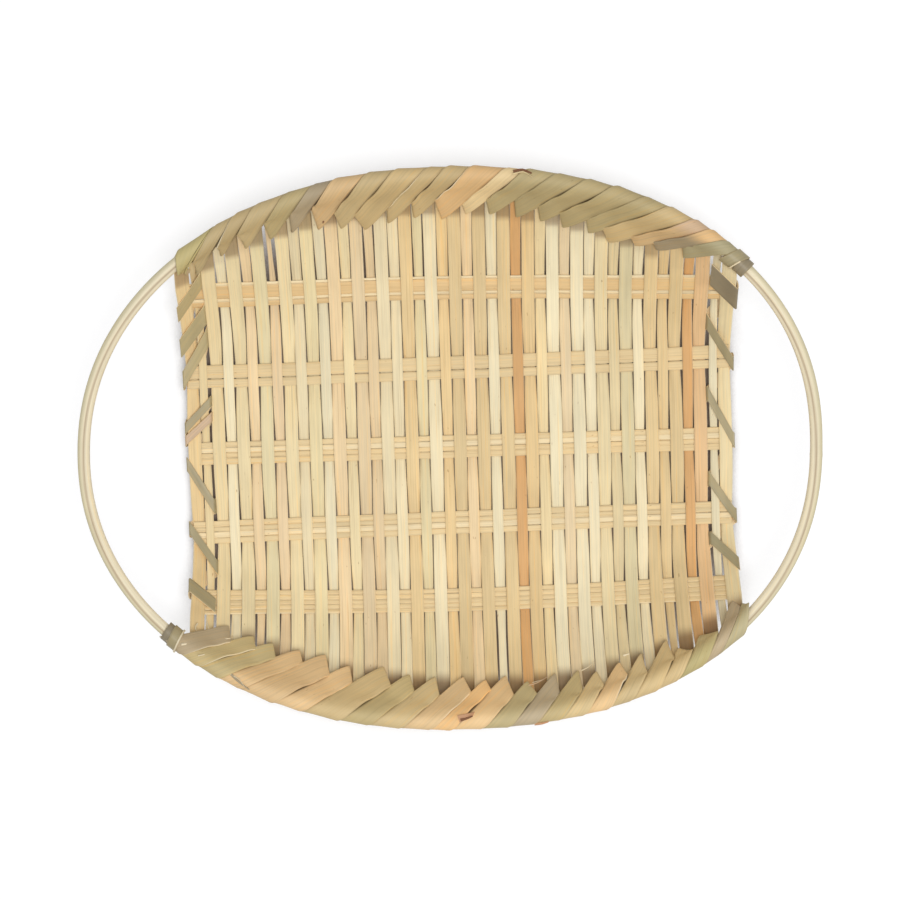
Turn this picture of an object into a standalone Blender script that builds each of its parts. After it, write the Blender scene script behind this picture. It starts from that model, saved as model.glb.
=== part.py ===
"""Zaru bamboo basket: a shallow woven tray hung in an oval hoop with a handle at each end.

Split bamboo strips (warps) run along Y, from rim to rim, and five bands of cross strips
(wefts) run along X. Every second warp is wide: its ends pass under the hoop, wind round it
and come down the inner wall as the slanted bands of the rim. The narrow warps between them
end against the hoop. Metres, +Z up, with the origin on the ground under the hoop's middle.
"""
import math

import bpy
from mathutils import Vector

COLLECTION_NAME = "zaru_bamboo_basket"

# Clearance between pieces that touch, and the sideways gap between neighbouring warps.
CLEARANCE = 0.0003
WARP_SIDE_GAP = 0.00033

# Warps: the wide ones are odd, the narrow ones are even.
WIDE_WARPS = 23
WIDE_WARP_WIDTH = 0.0051
NARROW_WARP_WIDTH = 0.0042
WARP_THICKNESS = 0.0007

# Wefts: five bands, of two strips each apart from the last, which is one wide strip.
WEFT_THICKNESS = 0.0009
UPPER_WEFT_WIDTHS = (0.0060, 0.0055, 0.0046, 0.0045, 0.0094)
LOWER_WEFT_WIDTHS = (0.0031, 0.0036, 0.0045, 0.0046, 0)
WEFT_PLACE_SHARES = (0.610, 0.306, 0.006, -0.284, -0.578)
WEFT_STEPS = 28
WEFT_ACROSS_SHARES = (0, 0.5, 1)

# The three inner wefts are straight and slope a little. The first and the last one bow, with
# this much room between the hoop and their middle lines where they meet the outermost warps.
INNER_WEFT_SLOPE_SHARES = (0.041, 0.030, 0.040)
LEFT_WEFT_ROOMS = (0.0157, 0.0168)
RIGHT_WEFT_ROOMS = (0.0104, 0.0166)

# The hoop, the handle room that it leaves past the tray, and the tray's offset in it.
HOOP_ROD_RADIUS = 0.0025
HOOP_HALF_WIDTH = 0.1090
HOOP_HEIGHT = 0.0385
LEFT_SQUARENESS_POWER = 2.10
RIGHT_SQUARENESS_POWER = 2.22
HOOP_SLANT_SHARE = 0.012
HANDLE_ROOM = 0.0319
TRAY_OFFSET = 0.0043
HOOP_SCARF_GAP = 0.0004
HOOP_POINT_COUNT = 76
HOOP_BEVEL_STEPS = 2
HOOP_JOINT_ANGLE = math.radians(-75)

# The tray's form: a flat middle, walls that climb to the hoop, and gently lifted open sides.
WALL_RUN = 0.0500
WALL_RUN_LOSS = 0.0060
WALL_POWER = 1.8
SIDE_LIFT = 0.0060
SIDE_FLAT_SHARE = 0.50
LEFT_LEAN_SHARE = 0.042
RIGHT_LEAN_SHARE = 0.020
SHEAR_RUN = 0.0200
CROSSING_MARGIN = 0.0012
CROSSING_STEPS = (2, 2, 1, 2, 3)
GAP_STATION_SHARES = (0.33, 0.67)
APPROACH_SHARES = (0.75, 0.5, 0.25)
CLIMB_SHARES = (0.33, 0.67, 1)
SETTLE_STEPS = 4
HALVING_STEPS = 40

# The rim bands: how deep their ends reach, and how much deeper towards a rim's right end; how
# they lean; how far their seams lie past their warps at a rim's left end, middle and right
# end; how their ends are cut; and how they crowd at a corner. 1 is the +Y rim, -1 the other.
BAND_DEPTH = 0.0150
BAND_DEPTH_SLOPE_SHARE = 0.38
BAND_GAP = 0.0006
BAND_LEAN = math.radians(35)
BAND_LEFT_TURN = math.radians(27.5)
BAND_RIGHT_TURNS = {1: math.radians(54), -1: math.radians(46)}
BAND_SHIFTS = {1: (0.0030, 0.0020, -0.0014), -1: (0.0058, 0.0004, 0.0056)}
BAND_CUT = math.radians(112)
BAND_CUT_TURN_SHARE = 0.85
BAND_REACH_SHARE = 0.72
BAND_SHIFT_COUNT = 2
CORNER_CROWDING = 0.0042
CORNER_BAND_EXTRA = 0.0030
WRAP_STEP = math.radians(36)
BAND_WRAP_SHARES = (0, 0.2, 0.4, 0.6, 0.8, 1)
BAND_RUN_SHARES = (0.5, 1)

# Edge lashings and corner ties. Each visible turn starts and ends at places counted in wefts
# from the first one, such as 1.5 for half way from the second to the third. On the left it
# runs from the tray's edge in to the slot beside the third warp, on the right from slot to edge.
LASHING_THICKNESS = 0.0005
LASHING_BREADTH = 0.0052
LASHING_OVER_SHARES = (0, 0.5, 1)
LASHING_UNDER_STEPS = 8
WEFT_SETBACK = 0.0006
LEFT_TURN_SHARES = ((0.25, -0.245), (0.96, 0.27), (1.74, 1.35), (2.10, 2.71), (2.95, 3.55), (3.82, 4.10))
RIGHT_TURN_SHARES = ((0.00, 0.27), (0.48, 1.15), (1.46, 2.08), (2.55, 3.08), (3.37, 3.75))
TIE_THICKNESS = 0.0007
TIE_BREADTH = 0.0048
TIE_START_ANGLE = math.radians(-105)
TIE_END_ANGLE = math.radians(160)

# Sizes that follow from the ones above.
PAIR_PITCH = WIDE_WARP_WIDTH + NARROW_WARP_WIDTH + 2 * WARP_SIDE_GAP
WARP_COUNT = 2 * WIDE_WARPS - 1
TRAY_WIDTH = (WIDE_WARPS - 1) * PAIR_PITCH + WIDE_WARP_WIDTH
HOOP_HALF_LENGTH = TRAY_WIDTH / 2 + HANDLE_ROOM + HOOP_ROD_RADIUS
WEAVE_OFFSET = WEFT_THICKNESS / 2 + CLEARANCE + WARP_THICKNESS / 2
REST_HEIGHT = WEAVE_OFFSET + WARP_THICKNESS / 2
WRAP_RADIUS = (HOOP_ROD_RADIUS + CLEARANCE + WARP_THICKNESS / 2) / math.cos(WRAP_STEP / 2)
TAIL_RISE = WARP_THICKNESS + 2 * CLEARANCE
LASHING_SLOT = LASHING_THICKNESS + 2 * CLEARANCE
LASHING_OFFSET = REST_HEIGHT + CLEARANCE + LASHING_THICKNESS / 2

STRAW = (0.80, 0.66, 0.42)
TAN = (0.72, 0.55, 0.31)
OLIVE = (0.38, 0.34, 0.20)
CREAM = (0.86, 0.76, 0.55)
STRIP_ROUGHNESS = 0.55
HOOP_ROUGHNESS = 0.45
TONE_SHARE = 0.08
TONE_TURN = 2.4


def mix(a, b, share):
    return a + (b - a) * share


def squareness(x):
    return RIGHT_SQUARENESS_POWER if x > 0 else LEFT_SQUARENESS_POWER


def hoop_half_width_at(x):
    power = squareness(x)
    share = min(abs(x / HOOP_HALF_LENGTH), 1.0)
    return HOOP_HALF_WIDTH * (1 - share ** power) ** (1 / power)


def hoop_y(x, side):
    """How far out the hoop's centre line lies at x, on the +Y side (1) or the -Y side (-1).
    The hoop leans a little, up to the right."""
    return hoop_half_width_at(x) + side * HOOP_SLANT_SHARE * x


def hoop_frame(x, side):
    """The hoop's centre point and outward normal. For the -Y side the hoop is turned half
    round about Z, and x counts along the turned hoop."""
    half = hoop_half_width_at(side * x)
    power = squareness(side * x) - 1
    along = (abs(x) / HOOP_HALF_LENGTH) ** power / HOOP_HALF_LENGTH
    across = (half / HOOP_HALF_WIDTH) ** power / HOOP_HALF_WIDTH
    slope = HOOP_SLANT_SHARE - math.copysign(along, x) / across
    normal = Vector((-slope, 1, 0)).normalized()
    return Vector((x, half + HOOP_SLANT_SHARE * x, HOOP_HEIGHT)), normal


def inward_at(x, y):
    """Distance along Y from the hoop's centre line in to a point of the tray."""
    side = 1 if y > 0 else -1
    return hoop_y(x, side) - side * y


def floor_height(x):
    """The woven floor's middle surface, which lifts towards the open sides."""
    half = TRAY_WIDTH / 2
    flat = half * SIDE_FLAT_SHARE
    past = max(0, abs(x - TRAY_OFFSET) - flat) / (half - flat)
    return REST_HEIGHT + SIDE_LIFT * past ** 2


def wall_run_at(x):
    return WALL_RUN - WALL_RUN_LOSS * (x / HOOP_HALF_LENGTH) ** 2


def tray_height(x, y):
    inward = inward_at(x, y)
    climb = max(0, 1 - inward / wall_run_at(x)) ** WALL_POWER
    return mix(floor_height(x), HOOP_HEIGHT, climb)


def tray_slopes(x, y):
    step = CLEARANCE
    slope_x = (tray_height(x + step, y) - tray_height(x - step, y)) / (2 * step)
    slope_y = (tray_height(x, y + step) - tray_height(x, y - step)) / (2 * step)
    return slope_x, slope_y


def wall_angle_at(x, side):
    """How steep the wall is where it meets the hoop, taken just inside it."""
    y = hoop_y(x, side) - 2 * CLEARANCE
    return math.atan(math.hypot(*tray_slopes(x, side * y)))


def tray_point(x, y, offset):
    """A point offset from the tray's middle surface, moved in the Y-Z plane only, so that
    neighbouring warps keep their sideways gap."""
    slope_x, slope_y = tray_slopes(x, y)
    step = offset * math.hypot(1, slope_x, slope_y) / (1 + slope_y ** 2)
    return Vector((x, y - step * slope_y, tray_height(x, y) + step))


def warp_x(number, y):
    share = (number - 1) / (WARP_COUNT - 1)
    middle = TRAY_OFFSET - TRAY_WIDTH / 2 + WIDE_WARP_WIDTH / 2 + (number - 1) / 2 * PAIR_PITCH
    return middle - mix(LEFT_LEAN_SHARE, RIGHT_LEAN_SHARE, share) * y


def warp_x_at_rim(number, side):
    """Where a warp's centre line meets the hoop."""
    x = warp_x(number, 0)
    for _ in range(SETTLE_STEPS):
        x = warp_x(number, side * hoop_y(x, side))
    return x


def is_wide(number):
    return number % 2 == 1


def warp_half_widths(number):
    """Half widths to the left and right. Next to a lashing's slot the narrow warp gives way."""
    half = (WIDE_WARP_WIDTH if is_wide(number) else NARROW_WARP_WIDTH) / 2
    give_way = LASHING_SLOT - WARP_SIDE_GAP
    left, right = half, half
    if number == 2:
        right -= give_way
    if number == WARP_COUNT - 1:
        left -= give_way
    return left, right


def weft_width(band):
    parts = UPPER_WEFT_WIDTHS[band] + LOWER_WEFT_WIDTHS[band]
    return parts + (CLEARANCE if LOWER_WEFT_WIDTHS[band] else 0)


def is_outer_weft(band):
    return band in (0, len(WEFT_PLACE_SHARES) - 1)


def weft_y(band, x):
    """The middle line of a weft: the rise from its place at the hoop's middle, per length of X,
    is fixed for an inner one, and follows the hoop at both ends for an outer one."""
    middle = WEFT_PLACE_SHARES[band] * HOOP_HALF_WIDTH
    if not is_outer_weft(band):
        return middle + INNER_WEFT_SLOPE_SHARES[band - 1] * x
    side = 1 if band == 0 else -1
    end_xs = (warp_x(1, 0), warp_x(WARP_COUNT, 0))
    rises = []
    for end_x, rooms in zip(end_xs, (LEFT_WEFT_ROOMS, RIGHT_WEFT_ROOMS)):
        end_y = side * (hoop_y(end_x, side) - rooms[0 if band == 0 else 1])
        rises.append((end_y - middle) / end_x)
    share = (x - end_xs[0]) / (end_xs[1] - end_xs[0])
    return middle + mix(rises[0], rises[1], share) * x


def crossing_reach(band):
    return weft_width(band) / 2 + CROSSING_MARGIN


def warp_crossings(number):
    """Stations over and under the five wefts, from the last weft up to the first."""
    stations = []
    for band in reversed(range(len(WEFT_PLACE_SHARES))):
        y = weft_y(band, warp_x(number, WEFT_PLACE_SHARES[band] * HOOP_HALF_WIDTH))
        over = is_wide(number) == (band % 2 == 0)
        offset = WEAVE_OFFSET if over else -WEAVE_OFFSET
        reach = crossing_reach(band)
        steps = CROSSING_STEPS[band]
        own = [(y + mix(-reach, reach, step / steps), offset) for step in range(steps + 1)]
        outer_gap = band in (0, len(WEFT_PLACE_SHARES) - 2)
        if stations and outer_gap:
            last, last_offset = stations[-1]
            first = own[0][0]
            for share in GAP_STATION_SHARES:
                stations.append((mix(last, first, share), mix(last_offset, offset, share)))
        stations += own
    return stations


def warp_section(number, y, offset, side):
    """Left and right edge points of a warp on the tray. Near the hoop they follow its line,
    and where the wall also slopes along X a narrow warp gives way to the wide ones."""
    x = warp_x(number, y)
    left, right = warp_half_widths(number)
    if not is_wide(number):
        slope_x, slope_y = tray_slopes(x, y)
        tilt = WARP_THICKNESS * abs(slope_x) / math.hypot(1, slope_x, slope_y)
        left, right = left - tilt, right - tilt
    shear = max(0, 1 - inward_at(x, y) / SHEAR_RUN)
    points = []
    for shift in (-left, right):
        skew = (hoop_y(x + shift, side) - hoop_y(x, side)) * shear * side
        point = tray_point(x + shift, y + skew, offset)
        point.x = warp_x(number, point.y) + shift
        points.append(point)
    return points


def wall_crossing(number, side):
    """The outermost crossing station on one side: how far in from the hoop it ends."""
    y = warp_crossings(number)[-1 if side > 0 else 0][0]
    return inward_at(warp_x(number, y), y), y


def approach(number, side):
    """How a wide warp comes up to the hoop: the angle before its lowest line at which it
    meets the wrapping circle, and the stations of its straight run up to there."""
    x = warp_x_at_rim(number, side)
    inward, _ = wall_crossing(number, side)
    wall = wall_angle_at(x, side)
    _, normal = hoop_frame(side * x, side)
    flatten = math.cos(wall) / normal.y
    along = inward / flatten
    reach = math.hypot(along, WEAVE_OFFSET)
    turn = math.atan2(WEAVE_OFFSET, along) + math.asin(min(1, WRAP_RADIUS / reach))
    end_inward = WRAP_RADIUS * math.sin(turn) * flatten
    end_offset = -WRAP_RADIUS * math.cos(turn)
    stations = []
    for share in APPROACH_SHARES:
        y = side * (hoop_y(x, side) - mix(end_inward, inward, share))
        stations.append((y, mix(end_offset, WEAVE_OFFSET, share)))
    return turn, stations


class Rim:
    """One long side of the hoop. The -Y side (side -1) is the +Y one turned half round."""

    def __init__(self, side):
        self.side = side
        order = range(1, WARP_COUNT + 1, 2)
        numbers = list(order) if side > 0 else list(reversed(order))
        self.numbers = numbers
        self.origins = [side * warp_x_at_rim(number, side) for number in numbers]
        self.lines = [self.make_line(index) for index in range(WIDE_WARPS + 1)]

    def to_world(self, point):
        return Vector((self.side * point.x, self.side * point.y, point.z))

    def height(self, x, y):
        return tray_height(self.side * x, self.side * y)

    def inward(self, x, y):
        """Distance in from the hoop's centre line, square to it."""
        centre, normal = hoop_frame(x, self.side)
        return (centre.y - y) * normal.y

    def wall_angle(self, x):
        return wall_angle_at(self.side * x, self.side)

    def tip_depth(self, x):
        band = 0 if self.side > 0 else len(WEFT_PLACE_SHARES) - 1
        weft = self.side * weft_y(band, self.side * x)
        centre, normal = hoop_frame(x, self.side)
        room = centre.y - weft - crossing_reach(band)
        least = WRAP_RADIUS * math.sin(self.wall_angle(x)) + 2 * CLEARANCE
        full = BAND_DEPTH * (1 + BAND_DEPTH_SLOPE_SHARE * x / HOOP_HALF_LENGTH)
        return max(least, min(full, BAND_REACH_SHARE * room * normal.y))

    def seam_shift(self, share):
        """How far a seam's inner end lies past the right edge of its warp."""
        left, middle, right = BAND_SHIFTS[self.side]
        if share < 0.5:
            return mix(left, middle, 2 * share)
        return mix(middle, right, 2 * share - 1)

    def make_line(self, index):
        """The straight seam, seen from above, between two neighbouring bands: its inner end,
        its direction and its depth."""
        first = BAND_SHIFT_COUNT + 1
        column = max(index, first) - first
        x = self.origins[column] + WIDE_WARP_WIDTH / 2 + WARP_SIDE_GAP / 2
        x += self.seam_shift(column / (WIDE_WARPS - 1))
        x -= max(0, first - index) * CORNER_CROWDING
        if index == 0:
            x -= CORNER_BAND_EXTRA
        turn = BAND_RIGHT_TURNS[self.side] if x > 0 else BAND_LEFT_TURN
        lean = BAND_LEAN - turn * x / HOOP_HALF_LENGTH
        depth = self.tip_depth(x)
        centre, normal = hoop_frame(x, self.side)
        tip = Vector((x, centre.y - depth / normal.y, 0))
        return tip, Vector((math.cos(lean), math.sin(lean), 0)), depth

    def on_line(self, line, shift, depth):
        """The point of a seam, moved sideways by shift, that lies depth in from the hoop."""
        tip, direction, _ = line
        near = -BAND_DEPTH
        far = (HOOP_HALF_LENGTH - WRAP_RADIUS - tip.x - shift) / direction.x
        for _ in range(HALVING_STEPS):
            middle = (near + far) / 2
            point = tip + direction * middle + Vector((shift, 0, 0))
            if self.inward(point.x, point.y) > depth:
                near = middle
            else:
                far = middle
        return point

    def left_corner_depth(self, left, right):
        """The cut across a band's end starts from its lower tip and leans a little towards the
        band's start. It stands more upright where the bands lie flatter."""
        lean = math.atan2(right[1].y, right[1].x)
        cut = BAND_CUT - BAND_CUT_TURN_SHARE * max(0, BAND_LEAN - lean)
        across = Vector((-math.sin(cut), math.cos(cut), 0))
        run = (right[0] - left[0]).dot(across) / left[1].dot(across)
        point = left[0] + left[1] * run
        least = WRAP_RADIUS * math.sin(self.wall_angle(point.x)) + CLEARANCE
        return max(least, self.inward(point.x, point.y))

    def band_edge(self, line, shift, end_depth):
        """One edge of a band from the hoop's outermost line over its top and down the wall.
        It leaves the wrapping circle where a straight run to the band's end touches it."""
        wall = self.wall_angle(self.on_line(line, shift, 0).x)
        reach = math.hypot(end_depth / math.cos(wall), TAIL_RISE)
        past_square = math.asin(min(1, WRAP_RADIUS / reach)) - math.asin(TAIL_RISE / reach)
        last = math.pi / 2 + wall + past_square
        points = []
        for share in BAND_WRAP_SHARES:
            angle = last * share
            point = self.on_line(line, shift, -WRAP_RADIUS * math.cos(angle))
            point.z = HOOP_HEIGHT + WRAP_RADIUS * math.sin(angle)
            points.append(point)
        start_depth = -WRAP_RADIUS * math.cos(last)
        start_lift = points[-1].z - self.height(points[-1].x, points[-1].y)
        end_lift = TAIL_RISE / math.cos(wall)
        for share in BAND_RUN_SHARES:
            point = self.on_line(line, shift, mix(start_depth, end_depth, share))
            point.z = self.height(point.x, point.y) + mix(start_lift, end_lift, share)
            points.append(point)
        return points

    def hoop_point(self, x, angle):
        """A point on the wrapping's circle round the hoop, angle 0 being outermost."""
        centre, normal = hoop_frame(x, self.side)
        out = normal * (WRAP_RADIUS * math.cos(angle))
        return centre + out + Vector((0, 0, WRAP_RADIUS * math.sin(angle)))

    def foot(self, point):
        """Where the hoop's centre line is nearest to a point on the outermost line."""
        _, normal = hoop_frame(point.x, self.side)
        return point.x - WRAP_RADIUS * normal.x

    def tail(self, index):
        """Edge points of the tail of wide warp number index, from under the hoop to its end."""
        left, right = self.lines[index], self.lines[index + 1]
        left_edge = self.band_edge(left, BAND_GAP / 2, self.left_corner_depth(left, right))
        right_edge = self.band_edge(right, -BAND_GAP / 2, right[2])
        origin = self.origins[index]
        turn, _ = approach(self.numbers[index], self.side)
        first = self.wall_angle(origin) - math.pi / 2 - turn
        steps = math.ceil(-first / WRAP_STEP)
        under = []
        for step in range(steps):
            row = []
            angle = mix(first, 0, step / steps)
            for edge, start in ((left_edge, -1), (right_edge, 1)):
                start_x = origin + start * WIDE_WARP_WIDTH / 2
                _, normal = hoop_frame(start_x, self.side)
                start_x -= WRAP_RADIUS * math.cos(first) * normal.x
                x = mix(start_x, self.foot(edge[0]), step / steps)
                row.append(self.hoop_point(x, angle))
            under.append(row)
        rows = under + [list(row) for row in zip(left_edge, right_edge)]
        return [[self.to_world(point) for point in row] for row in rows]

    def tie(self):
        """Edge points of the corner tie, wound round the hoop beside the last band."""
        seam = self.band_edge(self.lines[-1], BAND_GAP / 2, self.lines[-1][2])
        last_warp = self.origins[-1] + WIDE_WARP_WIDTH / 2
        _, normal = hoop_frame(last_warp, self.side)
        past_warp = last_warp - WRAP_RADIUS * math.cos(TIE_START_ANGLE) * normal.x
        start = max(self.foot(seam[0]), self.foot(seam[-1]), past_warp) + TIE_THICKNESS
        steps = math.ceil((TIE_END_ANGLE - TIE_START_ANGLE) / WRAP_STEP)
        rows = []
        for step in range(steps + 1):
            angle = mix(TIE_START_ANGLE, TIE_END_ANGLE, step / steps)
            left = self.hoop_point(start, angle)
            right = self.hoop_point(start + TIE_BREADTH, angle)
            rows.append([self.to_world(left), self.to_world(right)])
        return rows


def tray_rows(number, stations):
    return [warp_section(number, y, offset, 1 if y > 0 else -1) for y, offset in stations]


def wide_warp_rows(number, rims):
    index = (number - 1) // 2
    far, near = rims
    upper = far.tail(index)
    lower = [row[::-1] for row in near.tail(WIDE_WARPS - 1 - index)]
    stations = list(reversed(approach(number, -1)[1])) + warp_crossings(number) + approach(number, 1)[1]
    return list(reversed(lower)) + tray_rows(number, stations) + upper


def narrow_warp_rows(number):
    crossings = warp_crossings(number)
    rows = tray_rows(number, crossings)
    for side in (1, -1):
        inward, y = wall_crossing(number, side)
        x = warp_x_at_rim(number, side)
        wall = wall_angle_at(x, side)
        _, normal = hoop_frame(side * x, side)
        end = (HOOP_ROD_RADIUS + 2 * CLEARANCE) * math.cos(wall) / normal.y
        start_offset = crossings[-1 if side > 0 else 0][1]
        climb = []
        for share in CLIMB_SHARES:
            station = side * (hoop_y(x, side) - mix(inward, end, share))
            climb.append(warp_section(number, station, start_offset * (1 - share), side))
        rows = rows + climb if side > 0 else list(reversed(climb)) + rows
    return rows


def weft_rows(band, upper):
    """Edge points of a cross strip, from the tray's left edge to its right edge."""
    whole = weft_width(band)
    top, bottom = whole / 2, -whole / 2
    if upper:
        bottom = top - UPPER_WEFT_WIDTHS[band]
    else:
        top = bottom + LOWER_WEFT_WIDTHS[band]
    past_middle = WIDE_WARP_WIDTH / 2 - WEFT_SETBACK
    across = WEFT_ACROSS_SHARES if upper else (0, 1)
    rows = []
    for step in range(WEFT_STEPS + 1):
        middle_x = mix(warp_x(1, 0), warp_x(WARP_COUNT, 0), step / WEFT_STEPS)
        row = []
        for share in across:
            y = weft_y(band, middle_x) + mix(bottom, top, share)
            left = warp_x(1, y) - past_middle
            right = warp_x(WARP_COUNT, y) + past_middle
            row.append(tray_point(mix(left, right, step / WEFT_STEPS), y, 0))
        rows.append(row)
    return rows


def between_wefts(share, x):
    """A place along a warp: whole shares are wefts, fractions lie between two of them."""
    last = len(WEFT_PLACE_SHARES) - 2
    first = min(last, max(0, math.floor(share)))
    return mix(weft_y(first, x), weft_y(first + 1, x), share - first)


def lashing_rows(turns, left_side):
    """A flat strip wound round the two outermost warps, drawn as pairs of edge points that
    lie along Y. Each turn runs over the top, through the slot or round the edge, and back
    underneath."""
    outer = 1 if left_side else WARP_COUNT
    slot_warp = 3 if left_side else WARP_COUNT - 2
    out_sign = -1 if left_side else 1

    def slot_x(y):
        half = WIDE_WARP_WIDTH / 2 + LASHING_SLOT / 2
        return warp_x(slot_warp, y) + out_sign * half

    def edge_x(y):
        half = WIDE_WARP_WIDTH / 2 + CLEARANCE + LASHING_THICKNESS / 2
        return warp_x(outer, y) + out_sign * half

    def run(first_x, last_x, first_y, last_y, share, offset):
        points = []
        for shift in (-LASHING_BREADTH / 2, LASHING_BREADTH / 2):
            y = mix(first_y, last_y, share) + shift
            points.append(tray_point(mix(first_x(y), last_x(y), share), y, offset))
        return points

    middle_x = TRAY_OFFSET + out_sign * (TRAY_WIDTH / 2 - WIDE_WARP_WIDTH)
    rows = []
    first, last = (edge_x, slot_x) if left_side else (slot_x, edge_x)
    for number, (start_share, end_share) in enumerate(turns):
        start = between_wefts(start_share, middle_x)
        end = between_wefts(end_share, middle_x)
        rows += [run(first, last, start, end, share, LASHING_OFFSET) for share in LASHING_OVER_SHARES]
        if number < len(turns) - 1:
            following = between_wefts(turns[number + 1][0], middle_x)
            for step in range(LASHING_UNDER_STEPS + 1):
                share = step / LASHING_UNDER_STEPS
                rows.append(run(last, first, end, following, share, -LASHING_OFFSET))
    return rows


def make_collection():
    collection = bpy.data.collections.new(COLLECTION_NAME)
    bpy.context.scene.collection.children.link(collection)
    return collection


def bamboo(name, colour, roughness):
    material = bpy.data.materials.new(name)
    material.use_nodes = True
    shader = material.node_tree.nodes["Principled BSDF"]
    shader.inputs["Base Color"].default_value = (*colour, 1)
    shader.inputs["Roughness"].default_value = roughness
    shader.inputs["Metallic"].default_value = 0
    return material


def shade(colour, number):
    """A small, fixed change of tone from strip to strip."""
    level = 1 + TONE_SHARE * math.sin(TONE_TURN * number)
    return tuple(min(1, channel * level) for channel in colour)


def make_strip(collection, name, rows, thickness, colour):
    """A strip of bamboo: an open ribbon through rows of points, given its thickness."""
    mesh = bpy.data.meshes.new(name)
    vertices = [point for row in rows for point in row]
    wide = len(rows[0])
    corners = [wide * row + point for row in range(len(rows) - 1) for point in range(wide - 1)]
    faces = [(corner, corner + 1, corner + wide + 1, corner + wide) for corner in corners]
    mesh.from_pydata(vertices, [], faces)
    strip = bpy.data.objects.new(name, mesh)
    collection.objects.link(strip)
    solid = strip.modifiers.new("Thickness", "SOLIDIFY")
    solid.thickness = thickness
    solid.offset = 0
    solid.solidify_mode = "NON_MANIFOLD"
    solid.nonmanifold_thickness_mode = "CONSTRAINTS"
    mesh.materials.append(bamboo(name + "_bamboo", colour, STRIP_ROUGHNESS))
    return strip


def make_hoop(collection):
    """A rod bent into a squarish oval, with a small open joint under the bands of the -Y rim."""
    curve = bpy.data.curves.new("hoop_rod", "CURVE")
    curve.dimensions = "3D"
    curve.bevel_depth = HOOP_ROD_RADIUS
    curve.bevel_resolution = HOOP_BEVEL_STEPS
    curve.use_fill_caps = True
    spline = curve.splines.new("POLY")
    spline.points.add(HOOP_POINT_COUNT - 1)
    opening = HOOP_SCARF_GAP / HOOP_HALF_LENGTH
    for number, point in enumerate(spline.points):
        turn = (2 * math.pi - opening) * number / (HOOP_POINT_COUNT - 1)
        angle = HOOP_JOINT_ANGLE + opening / 2 + turn
        power = 2 / squareness(math.cos(angle))
        x = math.copysign(abs(math.cos(angle)) ** power, math.cos(angle))
        y = math.copysign(abs(math.sin(angle)) ** power, math.sin(angle))
        x *= HOOP_HALF_LENGTH
        point.co = (x, y * HOOP_HALF_WIDTH + HOOP_SLANT_SHARE * x, HOOP_HEIGHT, 1)
    hoop = bpy.data.objects.new("hoop_rod", curve)
    collection.objects.link(hoop)
    curve.materials.append(bamboo("hoop_rod_bamboo", CREAM, HOOP_ROUGHNESS))
    return hoop


def build():
    for thing in list(bpy.data.objects):
        bpy.data.objects.remove(thing, do_unlink=True)
    collection = make_collection()
    rims = (Rim(1), Rim(-1))
    make_hoop(collection)
    for number in range(1, WARP_COUNT + 1):
        rows = wide_warp_rows(number, rims) if is_wide(number) else narrow_warp_rows(number)
        name = f"warp_strip_{number:02d}"
        make_strip(collection, name, rows, WARP_THICKNESS, shade(STRAW, number))
    for band in range(len(WEFT_PLACE_SHARES)):
        for upper in (True, False):
            width = UPPER_WEFT_WIDTHS[band] if upper else LOWER_WEFT_WIDTHS[band]
            if not width:
                continue
            ending = ("_upper" if upper else "_lower") if LOWER_WEFT_WIDTHS[band] else ""
            name = f"weft_{band + 1}{ending}"
            make_strip(collection, name, weft_rows(band, upper), WEFT_THICKNESS, shade(TAN, band))
    left = lashing_rows(LEFT_TURN_SHARES, True)
    right = lashing_rows(RIGHT_TURN_SHARES, False)
    make_strip(collection, "edge_lashing_left", left, LASHING_THICKNESS, OLIVE)
    make_strip(collection, "edge_lashing_right", right, LASHING_THICKNESS, OLIVE)
    make_strip(collection, "corner_tie_right", rims[0].tie(), TIE_THICKNESS, OLIVE)
    make_strip(collection, "corner_tie_left", rims[1].tie(), TIE_THICKNESS, OLIVE)


build()
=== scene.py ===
"""Zaru bamboo basket, dressed: a shallow woven tray hung in an oval hoop with two handles.

Every piece is laid out with the same sizes and formulas as the part's source. The strips are
then resampled finely, given rounded edges, a slight cup, uneven widths and tints of their own,
and each one replaces the solid that it stands for.
"""

import math
import random

import bpy
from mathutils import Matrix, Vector, noise


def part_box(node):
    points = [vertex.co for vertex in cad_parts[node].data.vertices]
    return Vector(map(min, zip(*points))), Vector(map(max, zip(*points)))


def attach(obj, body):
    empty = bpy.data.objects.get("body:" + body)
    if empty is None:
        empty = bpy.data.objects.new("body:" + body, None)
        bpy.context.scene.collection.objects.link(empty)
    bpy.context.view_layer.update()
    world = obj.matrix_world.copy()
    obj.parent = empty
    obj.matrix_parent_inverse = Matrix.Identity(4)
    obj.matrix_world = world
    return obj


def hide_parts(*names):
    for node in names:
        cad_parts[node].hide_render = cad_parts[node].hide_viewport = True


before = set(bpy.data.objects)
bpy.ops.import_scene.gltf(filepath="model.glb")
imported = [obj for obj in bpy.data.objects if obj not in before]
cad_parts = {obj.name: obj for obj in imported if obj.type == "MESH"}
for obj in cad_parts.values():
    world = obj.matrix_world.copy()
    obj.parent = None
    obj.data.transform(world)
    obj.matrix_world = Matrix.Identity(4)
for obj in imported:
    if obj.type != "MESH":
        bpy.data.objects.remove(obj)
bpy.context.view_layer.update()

# Sizes of the weave, the hoop and the lashings, as in the part's source.
CLEARANCE = 0.0003
WARP_SIDE_GAP = 0.00033
WIDE_WARPS = 23
WIDE_WARP_WIDTH = 0.0051
NARROW_WARP_WIDTH = 0.0042
WARP_THICKNESS = 0.0007
WEFT_THICKNESS = 0.0009
UPPER_WEFT_WIDTHS = (0.0060, 0.0055, 0.0046, 0.0045, 0.0094)
LOWER_WEFT_WIDTHS = (0.0031, 0.0036, 0.0045, 0.0046, 0)
WEFT_PLACE_SHARES = (0.610, 0.306, 0.006, -0.284, -0.578)
INNER_WEFT_SLOPE_SHARES = (0.041, 0.030, 0.040)
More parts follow.
